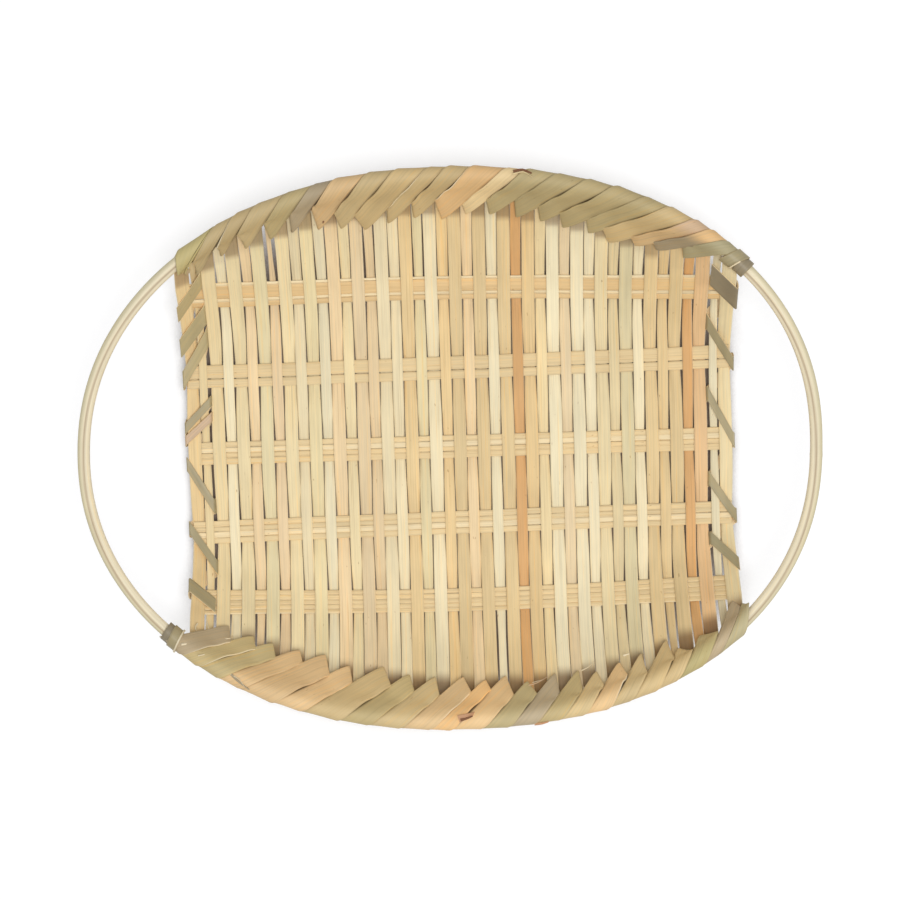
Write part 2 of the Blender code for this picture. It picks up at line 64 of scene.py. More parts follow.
LEFT_WEFT_ROOMS = (0.0157, 0.0168)
RIGHT_WEFT_ROOMS = (0.0104, 0.0166)
HOOP_ROD_RADIUS = 0.0025
HOOP_HALF_WIDTH = 0.1090
HOOP_HEIGHT = 0.0385
LEFT_SQUARENESS_POWER = 2.10
RIGHT_SQUARENESS_POWER = 2.22
HOOP_SLANT_SHARE = 0.012
HANDLE_ROOM = 0.0319
TRAY_OFFSET = 0.0043
WALL_RUN = 0.0500
WALL_RUN_LOSS = 0.0060
WALL_POWER = 1.8
SIDE_LIFT = 0.0060
SIDE_FLAT_SHARE = 0.50
LEFT_LEAN_SHARE = 0.042
RIGHT_LEAN_SHARE = 0.020
SHEAR_RUN = 0.0200
CROSSING_MARGIN = 0.0012
CROSSING_STEPS = (2, 2, 1, 2, 3)
GAP_STATION_SHARES = (0.33, 0.67)
APPROACH_SHARES = (0.75, 0.5, 0.25)
CLIMB_SHARES = (0.33, 0.67, 1)
BAND_DEPTH = 0.0150
BAND_DEPTH_SLOPE_SHARE = 0.38
BAND_GAP = 0.0006
BAND_LEAN = math.radians(35)
BAND_LEFT_TURNS = {1: math.radians(27.5), -1: math.radians(36)}
CORNER_LEANS = {1: math.radians(87), -1: math.radians(78)}
BAND_RIGHT_TURNS = {1: math.radians(54), -1: math.radians(46)}
WRAP_STEP = math.radians(36)
BAND_WRAP_SHARES = (0, 0.2, 0.4, 0.6, 0.8, 1)
BAND_RUN_SHARES = (0.5, 1)
LASHING_THICKNESS = 0.0005
WEFT_SETBACK = 0.0006

HELD_HALF_LENGTH = 0.14
PAIR_PITCH = WIDE_WARP_WIDTH + NARROW_WARP_WIDTH + 2 * WARP_SIDE_GAP
WARP_COUNT = 2 * WIDE_WARPS - 1
WEFT_COUNT = len(WEFT_PLACE_SHARES)
BAND_ROWS = len(BAND_WRAP_SHARES) + len(BAND_RUN_SHARES)
TRAY_WIDTH = (WIDE_WARPS - 1) * PAIR_PITCH + WIDE_WARP_WIDTH
HOOP_HALF_LENGTH = TRAY_WIDTH / 2 + HANDLE_ROOM + HOOP_ROD_RADIUS
WEAVE_OFFSET = WEFT_THICKNESS / 2 + CLEARANCE + WARP_THICKNESS / 2
REST_HEIGHT = WEAVE_OFFSET + WARP_THICKNESS / 2
WRAP_RADIUS = (HOOP_ROD_RADIUS + CLEARANCE + WARP_THICKNESS / 2) / math.cos(WRAP_STEP / 2)
TAIL_RISE = WARP_THICKNESS + 2 * CLEARANCE
LASHING_SLOT = LASHING_THICKNESS + 2 * CLEARANCE
LASHING_OFFSET = REST_HEIGHT + CLEARANCE + LASHING_THICKNESS / 2

# How finely the strips are drawn, and how their faces and edges are formed.
RUN_SPACING = 0.0017
BEND_STEP = math.radians(11)
SHARP_EDGE = math.radians(50)
CUP = 0.00005
FACE_UNEVENNESS = 0.00006
EDGE_ROUNDING_SHARE = 0.32
EDGE_LEVEL_SHARE = 0.45
EDGE_PITH_SHARE = 0.35
SEAM_FADE_SHARE = 0.16

# The photograph's frame: its middle pixel, and the camera, which sees VIEW_WIDTH metres, at
# 0.0004 m a pixel, from SCALE_DISTANCE away.
MIDDLE_PIXEL = 448.5
CAMERA_HEIGHT = 1.0015
SCALE_DISTANCE = 0.963
VIEW_WIDTH = 0.36
SENSOR_WIDTH = 36
PIXEL_ANGLE = 0.0004 / SCALE_DISTANCE


def paint(red, green, blue):
    """A colour from 0-255 screen levels, as the linear values that the shaders use."""
    levels = (red / 255, green / 255, blue / 255)
    return Vector([v / 12.92 if v <= 0.04045 else ((v + 0.055) / 1.055) ** 2.4 for v in levels])


STRAW = paint(234, 214, 168)
PALE = paint(240, 227, 191)
GREENISH = paint(227, 213, 170)
PINKISH = paint(234, 209, 168)
HONEY = paint(228, 199, 147)
ORANGE = paint(219, 172, 116)
PEACH = paint(231, 194, 146)
CROSS_TAN = paint(231, 206, 158)
CROSS_GOLD = paint(227, 195, 143)
CROSS_PALE = paint(240, 221, 180)
BARK_TAN = paint(194, 171, 126)
BARK_OLIVE = paint(179, 162, 119)
BARK_GREY = paint(167, 151, 123)
BARK_GREEN = paint(166, 156, 122)
BARK_ORANGE = paint(222, 184, 132)
BARK_CREAM = paint(229, 205, 158)
BARK_PEACH = paint(208, 178, 133)
BARK_APRICOT = paint(204, 174, 130)
BARK_DUN = paint(186, 166, 124)
BARK_YELLOW = paint(190, 176, 124)
LASHING_OLIVE = paint(164, 152, 118)
LASHING_TAN = paint(184, 167, 124)
LASHING_GREY = paint(146, 134, 110)
LASHING_PINK = paint(206, 176, 142)
EDGE_CREAM = paint(242, 228, 196)
HANDLE_CREAM = paint(238, 226, 196)
HANDLE_GREEN = paint(216, 206, 170)
NODE_BROWN = paint(132, 92, 48)
# Brown of the painted shade and stain beside the ends of the bands.
STAIN_AND_SHADE = paint(112, 78, 46)
SPLINTER = paint(226, 212, 180)
KNOT_PINK = paint(196, 150, 114)
# Dark scars, and the painted shade of a hole in a band.
SCAR_AND_HOLE_SHADE = paint(120, 82, 56)
# Painted shade on the bands, where the next band's edge lies over them.
PAINTED_SEAM_SHADE = paint(62, 44, 26)

# Warps whose pith stands out from its neighbours, and the tints of the bands on the far rim
# and the near one, counted along each rim from its own left.
WARP_TINTS = {28: ORANGE, 29: HONEY, 42: ORANGE, 43: PEACH, 8: PINKISH, 34: PALE}
FAR_BARKS = (
    BARK_YELLOW, BARK_YELLOW, BARK_DUN, BARK_DUN, BARK_DUN, BARK_OLIVE, BARK_GREY, BARK_PEACH,
    BARK_TAN, BARK_TAN, BARK_TAN, BARK_TAN, BARK_ORANGE, BARK_CREAM, BARK_OLIVE, BARK_OLIVE,
    BARK_OLIVE, BARK_OLIVE, BARK_OLIVE, BARK_TAN, BARK_PEACH, BARK_GREY, BARK_GREEN,
)
NEAR_BARKS = (
    BARK_GREEN, BARK_GREY, BARK_OLIVE, BARK_TAN, BARK_TAN, BARK_TAN, BARK_PEACH, BARK_TAN,
    BARK_OLIVE, BARK_GREY, BARK_OLIVE, BARK_PEACH, BARK_ORANGE, BARK_PEACH, BARK_TAN, BARK_OLIVE,
    BARK_TAN, BARK_APRICOT, BARK_APRICOT, BARK_APRICOT, BARK_OLIVE, BARK_OLIVE, BARK_GREY,
)

# Narrow warps that taper towards one rim and leave an opening there: warp, side of the tray,
# and the share of their width that is left.
TAPERED_WARPS = {
    (8, 1): 0.45, (6, -1): 0.7, (26, -1): 0.72, (40, -1): 0.7, (16, 1): 0.85, (20, 1): 0.88,
}

# How far each band's left edge rises over the band before it, how far it reaches over it, and
# how much more the looser ones rise: rim (1 far, -1 near), band and factor.
LAP_RISE = 0.0009
LAP_REACH = 0.0009
LOOSE_REACH_SHARE = 0.7
LOOSE_BANDS = {
    (1, 1): 0.2, (1, 3): 1.6, (1, 4): 1.3, (1, 7): 1.7, (1, 8): 1.5, (1, 9): 1.4, (1, 11): 1.8,
    (1, 12): 1.9, (1, 14): 1.8, (1, 16): 1.5, (1, 17): 1.9, (1, 19): 1.4, (1, 20): 1.7,
    (1, 21): 1.7, (-1, 1): 0.2, (-1, 22): 1.5, (-1, 21): 1.6, (-1, 20): 1.4, (-1, 18): 1.7,
    (-1, 16): 1.5, (-1, 12): 1.7, (-1, 10): 1.4, (-1, 7): 1.5, (-1, 6): 1.9, (-1, 4): 1.4,
}

# Bands whose left edge is light, with the skin peeled off it: rim and band.
PEELED_BANDS = {(1, 3), (1, 10), (1, 12), (-1, 22), (-1, 21), (-1, 6), (-1, 13)}

# How much lighter than their tints the bands of a rim are painted, far and near: painted light,
# most on the near rim, whose inner slope the lamp lights less.
PAINTED_LIGHT_BARK_LIFTS = {1: 1.08, -1: 1.30}

# The pixels of the photograph that show each band's end, x and y of its left corner and then of
# its tip, on the far rim and the near one, counted along each rim from its own left.
BAND_ENDS = {
    1: (
        (170, 268, 180, 279), (179, 277, 184, 281), (187, 264, 194, 280),
        (212.7, 252, 217.5, 259.5), (235, 239.8, 241.5, 251.4), (261.3, 231.2, 268.8, 242.5),
        (285.2, 221.5, 291.3, 236.5), (306.8, 213, 315.6, 232.3), (331.9, 216.8, 339, 230.4),
        (352, 219, 363, 232), (383.8, 212.4, 386.9, 226.4), (408.3, 204.5, 411.3, 219.3),
        (433.5, 204.3, 439, 220.3), (460, 207.5, 463.4, 216), (483.3, 202.5, 487, 215.5),
        (511.3, 203.5, 513.5, 219.5), (534.7, 208.6, 537.4, 223.5), (556, 214.9, 559, 229.8),
        (582.5, 221, 584.8, 235.2), (599.4, 230, 604.5, 244.5), (628, 238, 630.4, 247.3),
        (650.5, 243.3, 652, 249.3), (680, 250, 680, 258.5),
    ),
    -1: (
        (753, 606, 742, 600), (741, 600, 731, 597), (716, 634, 697, 633), (692, 651, 678, 647),
        (673.3, 652, 664.5, 639), (647.3, 668, 640.5, 652), (626.3, 672, 621, 663.5),
        (600.5, 679, 596, 671), (582, 685, 579, 670), (558.4, 688, 556, 673.5),
        (534.7, 690, 529, 683), (511.7, 689.6, 505.6, 675), (489.5, 688, 486, 681),
        (469.6, 689, 463.5, 678), (439, 692, 436.7, 679), (413, 687, 409, 675),
        (390, 683.5, 384.6, 669), (352, 678.7, 350.5, 668), (328.3, 671, 326.8, 657),
        (302.3, 659.5, 300.8, 651), (274.7, 655.7, 273.2, 644), (254.8, 647, 254, 638),
        (230.3, 638.9, 229.6, 625.8),
    ),
}
END_FLAP = 0.0008

# Bands whose start, on the hoop, is of another tint than the rest: rim, band and tint.
BAND_STARTS = {
    (1, 20): LASHING_PINK, (1, 21): BARK_ORANGE, (1, 12): BARK_ORANGE, (-1, 2): BARK_YELLOW,
}


def mix(a, b, share):
    return a + (b - a) * share


def sign_of(value):
    return 1 if value > 0 else -1


def ease(value):
    value = min(1, max(0, value))
    return value * value * (3 - 2 * value)


def drift(*place):
    """Smooth noise, from -1 to 1, at a place given by three numbers."""
    return noise.noise(Vector(place))


def spot(x_pixel, y_pixel, height):
    """The place, at a given height, that the photograph shows at a pixel."""
    scale = PIXEL_ANGLE * (CAMERA_HEIGHT - height)
    return Vector(((x_pixel - MIDDLE_PIXEL) * scale, (MIDDLE_PIXEL - y_pixel) * scale, height))


# ---- The lie of the tray, the hoop and the bands, as in the part's source.

def squareness(x):
    return RIGHT_SQUARENESS_POWER if x > 0 else LEFT_SQUARENESS_POWER


def hoop_half_width_at(x):
    power = squareness(x)
    share = min(abs(x / HOOP_HALF_LENGTH), 1.0)
    return HOOP_HALF_WIDTH * (1 - share ** power) ** (1 / power)


def hoop_y(x, side):
    return hoop_half_width_at(x) + side * HOOP_SLANT_SHARE * x


def hoop_frame(x, side):
    half = hoop_half_width_at(side * x)
    power = squareness(side * x) - 1
    along = (abs(x) / HOOP_HALF_LENGTH) ** power / HOOP_HALF_LENGTH
    across = (half / HOOP_HALF_WIDTH) ** power / HOOP_HALF_WIDTH
    slope = HOOP_SLANT_SHARE - math.copysign(along, x) / across
    normal = Vector((-slope, 1, 0)).normalized()
    return Vector((x, half + HOOP_SLANT_SHARE * x, HOOP_HEIGHT)), normal


def inward_at(x, y):
    side = sign_of(y)
    return hoop_y(x, side) - side * y


def held(x):
    """A place along the tray, held off the handles, where the hoop turns away."""
    return max(-HELD_HALF_LENGTH, min(HELD_HALF_LENGTH, x))


def inward_of(place):
    return inward_at(held(place.x), place.y)


def floor_height(x):
    half = TRAY_WIDTH / 2
    flat = half * SIDE_FLAT_SHARE
    past = max(0, abs(x - TRAY_OFFSET) - flat) / (half - flat)
    return REST_HEIGHT + SIDE_LIFT * past ** 2


def wall_run_at(x):
    return WALL_RUN - WALL_RUN_LOSS * (x / HOOP_HALF_LENGTH) ** 2


def tray_height(x, y):
    climb = max(0, 1 - inward_at(x, y) / wall_run_at(x)) ** WALL_POWER
    return mix(floor_height(x), HOOP_HEIGHT, climb)


def tray_slopes(x, y):
    step = CLEARANCE
    slope_x = (tray_height(x + step, y) - tray_height(x - step, y)) / (2 * step)
    slope_y = (tray_height(x, y + step) - tray_height(x, y - step)) / (2 * step)
    return slope_x, slope_y


def wall_angle_at(x, side):
    y = hoop_y(x, side) - 2 * CLEARANCE
    return math.atan(math.hypot(*tray_slopes(x, side * y)))


def tray_point(x, y, offset):
    slope_x, slope_y = tray_slopes(x, y)
    step = offset * math.hypot(1, slope_x, slope_y) / (1 + slope_y ** 2)
    return Vector((x, y - step * slope_y, tray_height(x, y) + step))


def warp_x(number, y):
    share = (number - 1) / (WARP_COUNT - 1)
    middle = TRAY_OFFSET - TRAY_WIDTH / 2 + WIDE_WARP_WIDTH / 2 + (number - 1) / 2 * PAIR_PITCH
    return middle - mix(LEFT_LEAN_SHARE, RIGHT_LEAN_SHARE, share) * y


def warp_x_at_rim(number, side):
    x = warp_x(number, 0)
    for _ in range(4):
        x = warp_x(number, side * hoop_y(x, side))
    return x


def is_wide(number):
    return number % 2 == 1


def warp_half_widths(number):
    half = (WIDE_WARP_WIDTH if is_wide(number) else NARROW_WARP_WIDTH) / 2
    give_way = LASHING_SLOT - WARP_SIDE_GAP
    left, right = half, half
    if number == 2:
        right -= give_way
    if number == WARP_COUNT - 1:
        left -= give_way
    return left, right


def weft_width(band):
    parts = UPPER_WEFT_WIDTHS[band] + LOWER_WEFT_WIDTHS[band]
    return parts + (CLEARANCE if LOWER_WEFT_WIDTHS[band] else 0)


def weft_y(band, x):
    middle = WEFT_PLACE_SHARES[band] * HOOP_HALF_WIDTH
    if 0 < band < WEFT_COUNT - 1:
        return middle + INNER_WEFT_SLOPE_SHARES[band - 1] * x
    side = 1 if band == 0 else -1
    end_xs = (warp_x(1, 0), warp_x(WARP_COUNT, 0))
    rises = []
    for end_x, rooms in zip(end_xs, (LEFT_WEFT_ROOMS, RIGHT_WEFT_ROOMS)):
        end_y = side * (hoop_y(end_x, side) - rooms[0 if band == 0 else 1])
        rises.append((end_y - middle) / end_x)
    share = (x - end_xs[0]) / (end_xs[1] - end_xs[0])
    return middle + mix(rises[0], rises[1], share) * x


def crossing_reach(band):
    return weft_width(band) / 2 + CROSSING_MARGIN


def runs_over(number, band):
    return is_wide(number) == (band % 2 == 0)


def crossing_y(number, band):
    return weft_y(band, warp_x(number, WEFT_PLACE_SHARES[band] * HOOP_HALF_WIDTH))


def warp_crossings(number):
    stations = []
    for band in reversed(range(WEFT_COUNT)):
        y = crossing_y(number, band)
        offset = WEAVE_OFFSET if runs_over(number, band) else -WEAVE_OFFSET
        reach = crossing_reach(band)
        steps = CROSSING_STEPS[band]
        own = [(y + mix(-reach, reach, step / steps), offset) for step in range(steps + 1)]
        if stations and band in (0, WEFT_COUNT - 2):
            last, last_offset = stations[-1]
            first = own[0][0]
            for share in GAP_STATION_SHARES:
                stations.append((mix(last, first, share), mix(last_offset, offset, share)))
        stations += own
    return stations


def warp_section(number, y, offset, side):
    x = warp_x(number, y)
    left, right = warp_half_widths(number)
    if not is_wide(number):
        slope_x, slope_y = tray_slopes(x, y)
        tilt = WARP_THICKNESS * abs(slope_x) / math.hypot(1, slope_x, slope_y)
        left, right = left - tilt, right - tilt
    shear = max(0, 1 - inward_at(x, y) / SHEAR_RUN)
    points = []
    for shift in (-left, right):
        skew = (hoop_y(x + shift, side) - hoop_y(x, side)) * shear * side
        point = tray_point(x + shift, y + skew, offset)
        point.x = warp_x(number, point.y) + shift
        points.append(point)
    return points


def wall_crossing(number, side):
    y = warp_crossings(number)[-1 if side > 0 else 0][0]
    return inward_at(warp_x(number, y), y), y


def approach(number, side):
    x = warp_x_at_rim(number, side)
    inward, _ = wall_crossing(number, side)
    wall = wall_angle_at(x, side)
    _, normal = hoop_frame(side * x, side)
    flatten = math.cos(wall) / normal.y
    along = inward / flatten
    reach = math.hypot(along, WEAVE_OFFSET)
    turn = math.atan2(WEAVE_OFFSET, along) + math.asin(min(1, WRAP_RADIUS / reach))
    end_inward = WRAP_RADIUS * math.sin(turn) * flatten
    end_offset = -WRAP_RADIUS * math.cos(turn)
    stations = []
    for share in APPROACH_SHARES:
        y = side * (hoop_y(x, side) - mix(end_inward, inward, share))
        stations.append((y, mix(end_offset, WEAVE_OFFSET, share)))
    return turn, stations


class Rim:
    """One long side of the hoop. The near side (side -1) is the far one turned half round."""

    def __init__(self, side):
        self.side = side
        self.numbers = list(range(1, WARP_COUNT + 1, 2))[::side]
        self.origins = [side * warp_x_at_rim(number, side) for number in self.numbers]
        self.lines = [self.make_line(index) for index in range(WIDE_WARPS + 1)]

    def to_world(self, point):
        return Vector((self.side * point.x, self.side * point.y, point.z))

    def height(self, x, y):
        return tray_height(self.side * x, self.side * y)

    def inward(self, x, y):
        centre, normal = hoop_frame(x, self.side)
        return (centre.y - y) * normal.y

    def wall_angle(self, x):
        return wall_angle_at(self.side * x, self.side)

    def seen_at(self, pixels):
        place = on_wall(pixels, 0)
        return Vector((self.side * place.x, self.side * place.y, 0))

    def least_depth(self, point):
        return WRAP_RADIUS * math.sin(self.wall_angle(point.x)) + 2 * CLEARANCE

    def make_line(self, index):
        """The seam at the left of a band: a place that it passes, and its direction. It runs
        between the tip of the band before and the corner of this one."""
        ends = BAND_ENDS[self.side]
        tip = self.seen_at(ends[index - 1][2:] if index else ends[0][:2])
        corner = self.seen_at(ends[index][:2]) if index < WIDE_WARPS else tip
        place = (tip + corner) / 2
        short = self.least_depth(place) + END_FLAP - self.inward(place.x, place.y)
        place -= hoop_frame(place.x, self.side)[1] * max(0, short)
        turns = BAND_RIGHT_TURNS if place.x > 0 else BAND_LEFT_TURNS
        lean = BAND_LEAN - turns[self.side] * place.x / HOOP_HALF_LENGTH
        if index == 0:
            lean = CORNER_LEANS[self.side]
        return place, Vector((math.cos(lean), math.sin(lean), 0))

    def end_depth(self, line, pixels):
        """How deep into the tray the seam is where it comes nearest to a pixel."""
        place, direction = line
        nearest = place + direction * (self.seen_at(pixels) - place).dot(direction)
        depth = self.inward(nearest.x, nearest.y) - END_FLAP
        return max(self.least_depth(nearest), depth)

    def on_line(self, line, shift, depth):
        tip, direction = line
        near = -BAND_DEPTH
        far = (HOOP_HALF_LENGTH - WRAP_RADIUS - tip.x - shift) / direction.x
        for _ in range(40):
            middle = (near + far) / 2
            point = tip + direction * middle + Vector((shift, 0, 0))
            if self.inward(point.x, point.y) > depth:
                near = middle
            else:
                far = middle
        return point

    def band_edge(self, line, shift, end_depth):
        wall = self.wall_angle(self.on_line(line, shift, 0).x)
        reach = math.hypot(end_depth / math.cos(wall), TAIL_RISE)
        past_square = math.asin(min(1, WRAP_RADIUS / reach)) - math.asin(TAIL_RISE / reach)
        last = math.pi / 2 + wall + past_square
        points = []
        for share in BAND_WRAP_SHARES:
            angle = last * share
            point = self.on_line(line, shift, -WRAP_RADIUS * math.cos(angle))
            point.z = HOOP_HEIGHT + WRAP_RADIUS * math.sin(angle)
            points.append(point)
        start_depth = -WRAP_RADIUS * math.cos(last)
        start_lift = points[-1].z - self.height(points[-1].x, points[-1].y)
        end_lift = TAIL_RISE / math.cos(wall)
        for share in BAND_RUN_SHARES:
            point = self.on_line(line, shift, mix(start_depth, end_depth, share))
            point.z = self.height(point.x, point.y) + mix(start_lift, end_lift, share)
            points.append(point)
        return points

    def hoop_point(self, x, angle, radius=WRAP_RADIUS):
        centre, normal = hoop_frame(x, self.side)
        out = normal * (radius * math.cos(angle))
        return centre + out + Vector((0, 0, radius * math.sin(angle)))

    def foot(self, point):
        _, normal = hoop_frame(point.x, self.side)
        return point.x - WRAP_RADIUS * normal.x

    def tail(self, index):
        left, right = self.lines[index], self.lines[index + 1]
        pixels = BAND_ENDS[self.side][index]
        left_edge = self.band_edge(left, BAND_GAP / 2, self.end_depth(left, pixels[:2]))
        right_edge = self.band_edge(right, -BAND_GAP / 2, self.end_depth(right, pixels[2:]))
        origin = self.origins[index]
        turn, _ = approach(self.numbers[index], self.side)
        first = self.wall_angle(origin) - math.pi / 2 - turn
        steps = math.ceil(-first / WRAP_STEP)
        under = []
        for step in range(steps):
            row = []
            angle = mix(first, 0, step / steps)
            for edge, start in ((left_edge, -1), (right_edge, 1)):
                start_x = origin + start * WIDE_WARP_WIDTH / 2
                _, normal = hoop_frame(start_x, self.side)
                start_x -= WRAP_RADIUS * math.cos(first) * normal.x
                x = mix(start_x, self.foot(edge[0]), step / steps)
                row.append(self.hoop_point(x, angle))
            under.append(row)
        rows = under + [list(row) for row in zip(left_edge, right_edge)]
        return [[self.to_world(point) for point in row] for row in rows]


def tray_rows(number, stations):
    return [warp_section(number, y, offset, sign_of(y)) for y, offset in stations]


def narrow_warp_rows(number):
    crossings = warp_crossings(number)
    rows = tray_rows(number, crossings)
    for side in (1, -1):
        inward, y = wall_crossing(number, side)
        x = warp_x_at_rim(number, side)
        wall = wall_angle_at(x, side)
        _, normal = hoop_frame(side * x, side)
        end = (HOOP_ROD_RADIUS + 2 * CLEARANCE) * math.cos(wall) / normal.y
        start_offset = crossings[-1 if side > 0 else 0][1]
        climb = []
        for share in CLIMB_SHARES:
            station = side * (hoop_y(x, side) - mix(inward, end, share))
            climb.append(warp_section(number, station, start_offset * (1 - share), side))
        rows = rows + climb if side > 0 else list(reversed(climb)) + rows
    return rows


def between_wefts(share, x):
    first = min(WEFT_COUNT - 2, max(0, math.floor(share)))
    return mix(weft_y(first, x), weft_y(first + 1, x), share - first)


# ---- Drawing strips.

def placed(name, data):
    thing = bpy.data.objects.new(name, data)
    bpy.context.scene.collection.objects.link(thing)
    return thing


class Bench:
    """One object in the making: its points, faces, and what its finish needs at each point."""

    def __init__(self):
        self.points = []
        self.faces = []
        self.fibres = []
        self.skins = []
        self.tints = []

    def add_point(self, point, fibre, skin, tint):
        self.points.append(tuple(point))
        self.fibres += fibre
        self.skins.append(skin)
        self.tints += (*tint, 1.0)

    def loft(self, first, rings, ring_size):
        """Joins rings of points, already added from number first on, into one closed body."""
        for ring in range(rings - 1):
            base = first + ring * ring_size
            above = base + ring_size
            for corner in range(ring_size):
                after = (corner + 1) % ring_size
                self.faces.append((base + corner, base + after, above + after, above + corner))
        last = first + (rings - 1) * ring_size
        self.faces.append(tuple(range(first + ring_size - 1, first - 1, -1)))
        self.faces.append(tuple(range(last, last + ring_size)))

    def finish(self, name, slot_name, nodes, material):
        mesh = bpy.data.meshes.new(name)
        mesh.from_pydata(self.points, [], self.faces)
        mesh.update()
        for key, kind, field, values in (
            ("fibre", "FLOAT_VECTOR", "vector", self.fibres),
            ("skin", "FLOAT", "value", self.skins),
            ("tint", "FLOAT_COLOR", "color", self.tints),
        ):
            mesh.attributes.new(key, kind, "POINT").data.foreach_set(field, values)
        for polygon in mesh.polygons:
            polygon.use_smooth = True
        mesh.set_sharp_from_angle(angle=SHARP_EDGE)
        mesh.materials.append(material)
        piece = placed(name, mesh)
        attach(piece, "root")
        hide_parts(*nodes)


def drawn_finely(rows, spacing=RUN_SPACING):
    """Rows of (left, right) points, joined by smooth curves and redrawn closely. Gives the
    middle point, the half width vector, the distance along and the place among the given rows
    for each new row. Until then each row is six numbers, its middle's and its half width's."""
    values = [Vector((*(left + right) / 2, *(right - left) / 2)) for left, right in rows]
    knots = [0.0]
    for first, second in zip(values, values[1:]):
        knots.append(knots[-1] + max(Vector((second - first)[:3]).length, 1e-6))
    last = len(rows) - 1
    paces = [(values[n + 1] - values[n]) / (knots[n + 1] - knots[n]) for n in range(last)]

    def slope(index):
        if index in (0, last):
            return paces[min(index, last - 1)]
        before, after = knots[index] - knots[index - 1], knots[index + 1] - knots[index]
        return (paces[index - 1] * after + paces[index] * before) / (before + after)

    slopes = [slope(index) for index in range(last + 1)]
    drawn = []
    for index in range(last):
        length = knots[index + 1] - knots[index]
        bend = Vector(slopes[index][:3]).angle(Vector(slopes[index + 1][:3]), 0.0)
        steps = max(1, math.ceil(length / spacing), math.ceil(bend / BEND_STEP))
        for step in range(steps + (1 if index == last - 1 else 0)):
            t = step / steps
            row = values[index] * (2 * t ** 3 - 3 * t ** 2 + 1)
            row += slopes[index] * ((t ** 3 - 2 * t ** 2 + t) * length)
            row += values[index + 1] * (3 * t ** 2 - 2 * t ** 3)
            row += slopes[index + 1] * ((t ** 3 - t ** 2) * length)
            drawn.append((Vector(row[:3]), Vector(row[3:]), knots[index] + length * t, index + t))
    return drawn


def tint_at(tint, *place):
    return tint(*place) if callable(tint) else tint


def lay_strip(bench, drawn, thickness, pith, bark, seed, widths=None, edge=EDGE_CREAM, cup=CUP):
    """A split strip along drawn rows. Its pith faces the way that half x direction points, its
    bark the other way. pith, edge and widths may change from row to row, bark across it too."""
    first = len(bench.points)
    last = len(drawn) - 1
    high = thickness / 2
    corner = high * EDGE_LEVEL_SHARE
    for index, (middle, half, along, _) in enumerate(drawn):
        share = along / drawn[-1][2]
        ahead = drawn[min(index + 1, last)][0] - drawn[max(index - 1, 0)][0]
        up = half.cross(ahead).normalized()
        side = half.normalized()
        width = half.length * (widths(index, share) if widths else 1)
        pith_tint = tint_at(pith, index, share)
        edge_tint = edge(index, share) if callable(edge) else edge.lerp(pith_tint, EDGE_PITH_SHARE)
        uneven = FACE_UNEVENNESS * drift(along * 60, seed * 7.1, 0.3)
        flat = max(0.2, 1 - EDGE_ROUNDING_SHARE * thickness / width)
        seam = min(0.82, max(0.4, 1 - LAP_REACH / width))
        inner = seam - SEAM_FADE_SHARE
        places = (-flat, -seam, -inner, 0, inner, seam, flat)
        profile = [(u, high + cup * (1 - u * u), 0.0) for u in places]
        profile += [(1, corner, 0.5), (1, -corner, 0.5)]
        profile += [(u, -high + cup * (1 - u * u), 1.0) for u in reversed(places)]
        profile += [(-1, -corner, 0.5), (-1, corner, 0.5)]
        for u, level, skin in profile:
            point = middle + side * (u * width) + up * (level + uneven)
            tint = pith_tint if skin < 0.5 else edge_tint
            if skin > 0.5:
                tint = tint_at(bark, index, share, u / seam)
            bench.add_point(point, (along, u * width, seed), skin, tint)
    bench.loft(first, len(drawn), len(profile))


# ---- Finishes.

class Wire:
    """A socket that carries a number. Sums and products of wires add Math nodes."""

    def __init__(self, finish, socket):
        self.finish = finish
        self.socket = socket

    def maths(self, operation, first, second):
        return self.finish.add("ShaderNodeMath", {0: first, 1: second}, operation=operation)

    def __add__(self, other):
        return self.maths("ADD", self, other)

    def __sub__(self, other):
        return self.maths("SUBTRACT", self, other)

    def __rsub__(self, other):
        return self.maths("SUBTRACT", other, self)

    def __mul__(self, other):
        return self.maths("MULTIPLY", self, other)

    __radd__ = __add__
    __rmul__ = __mul__


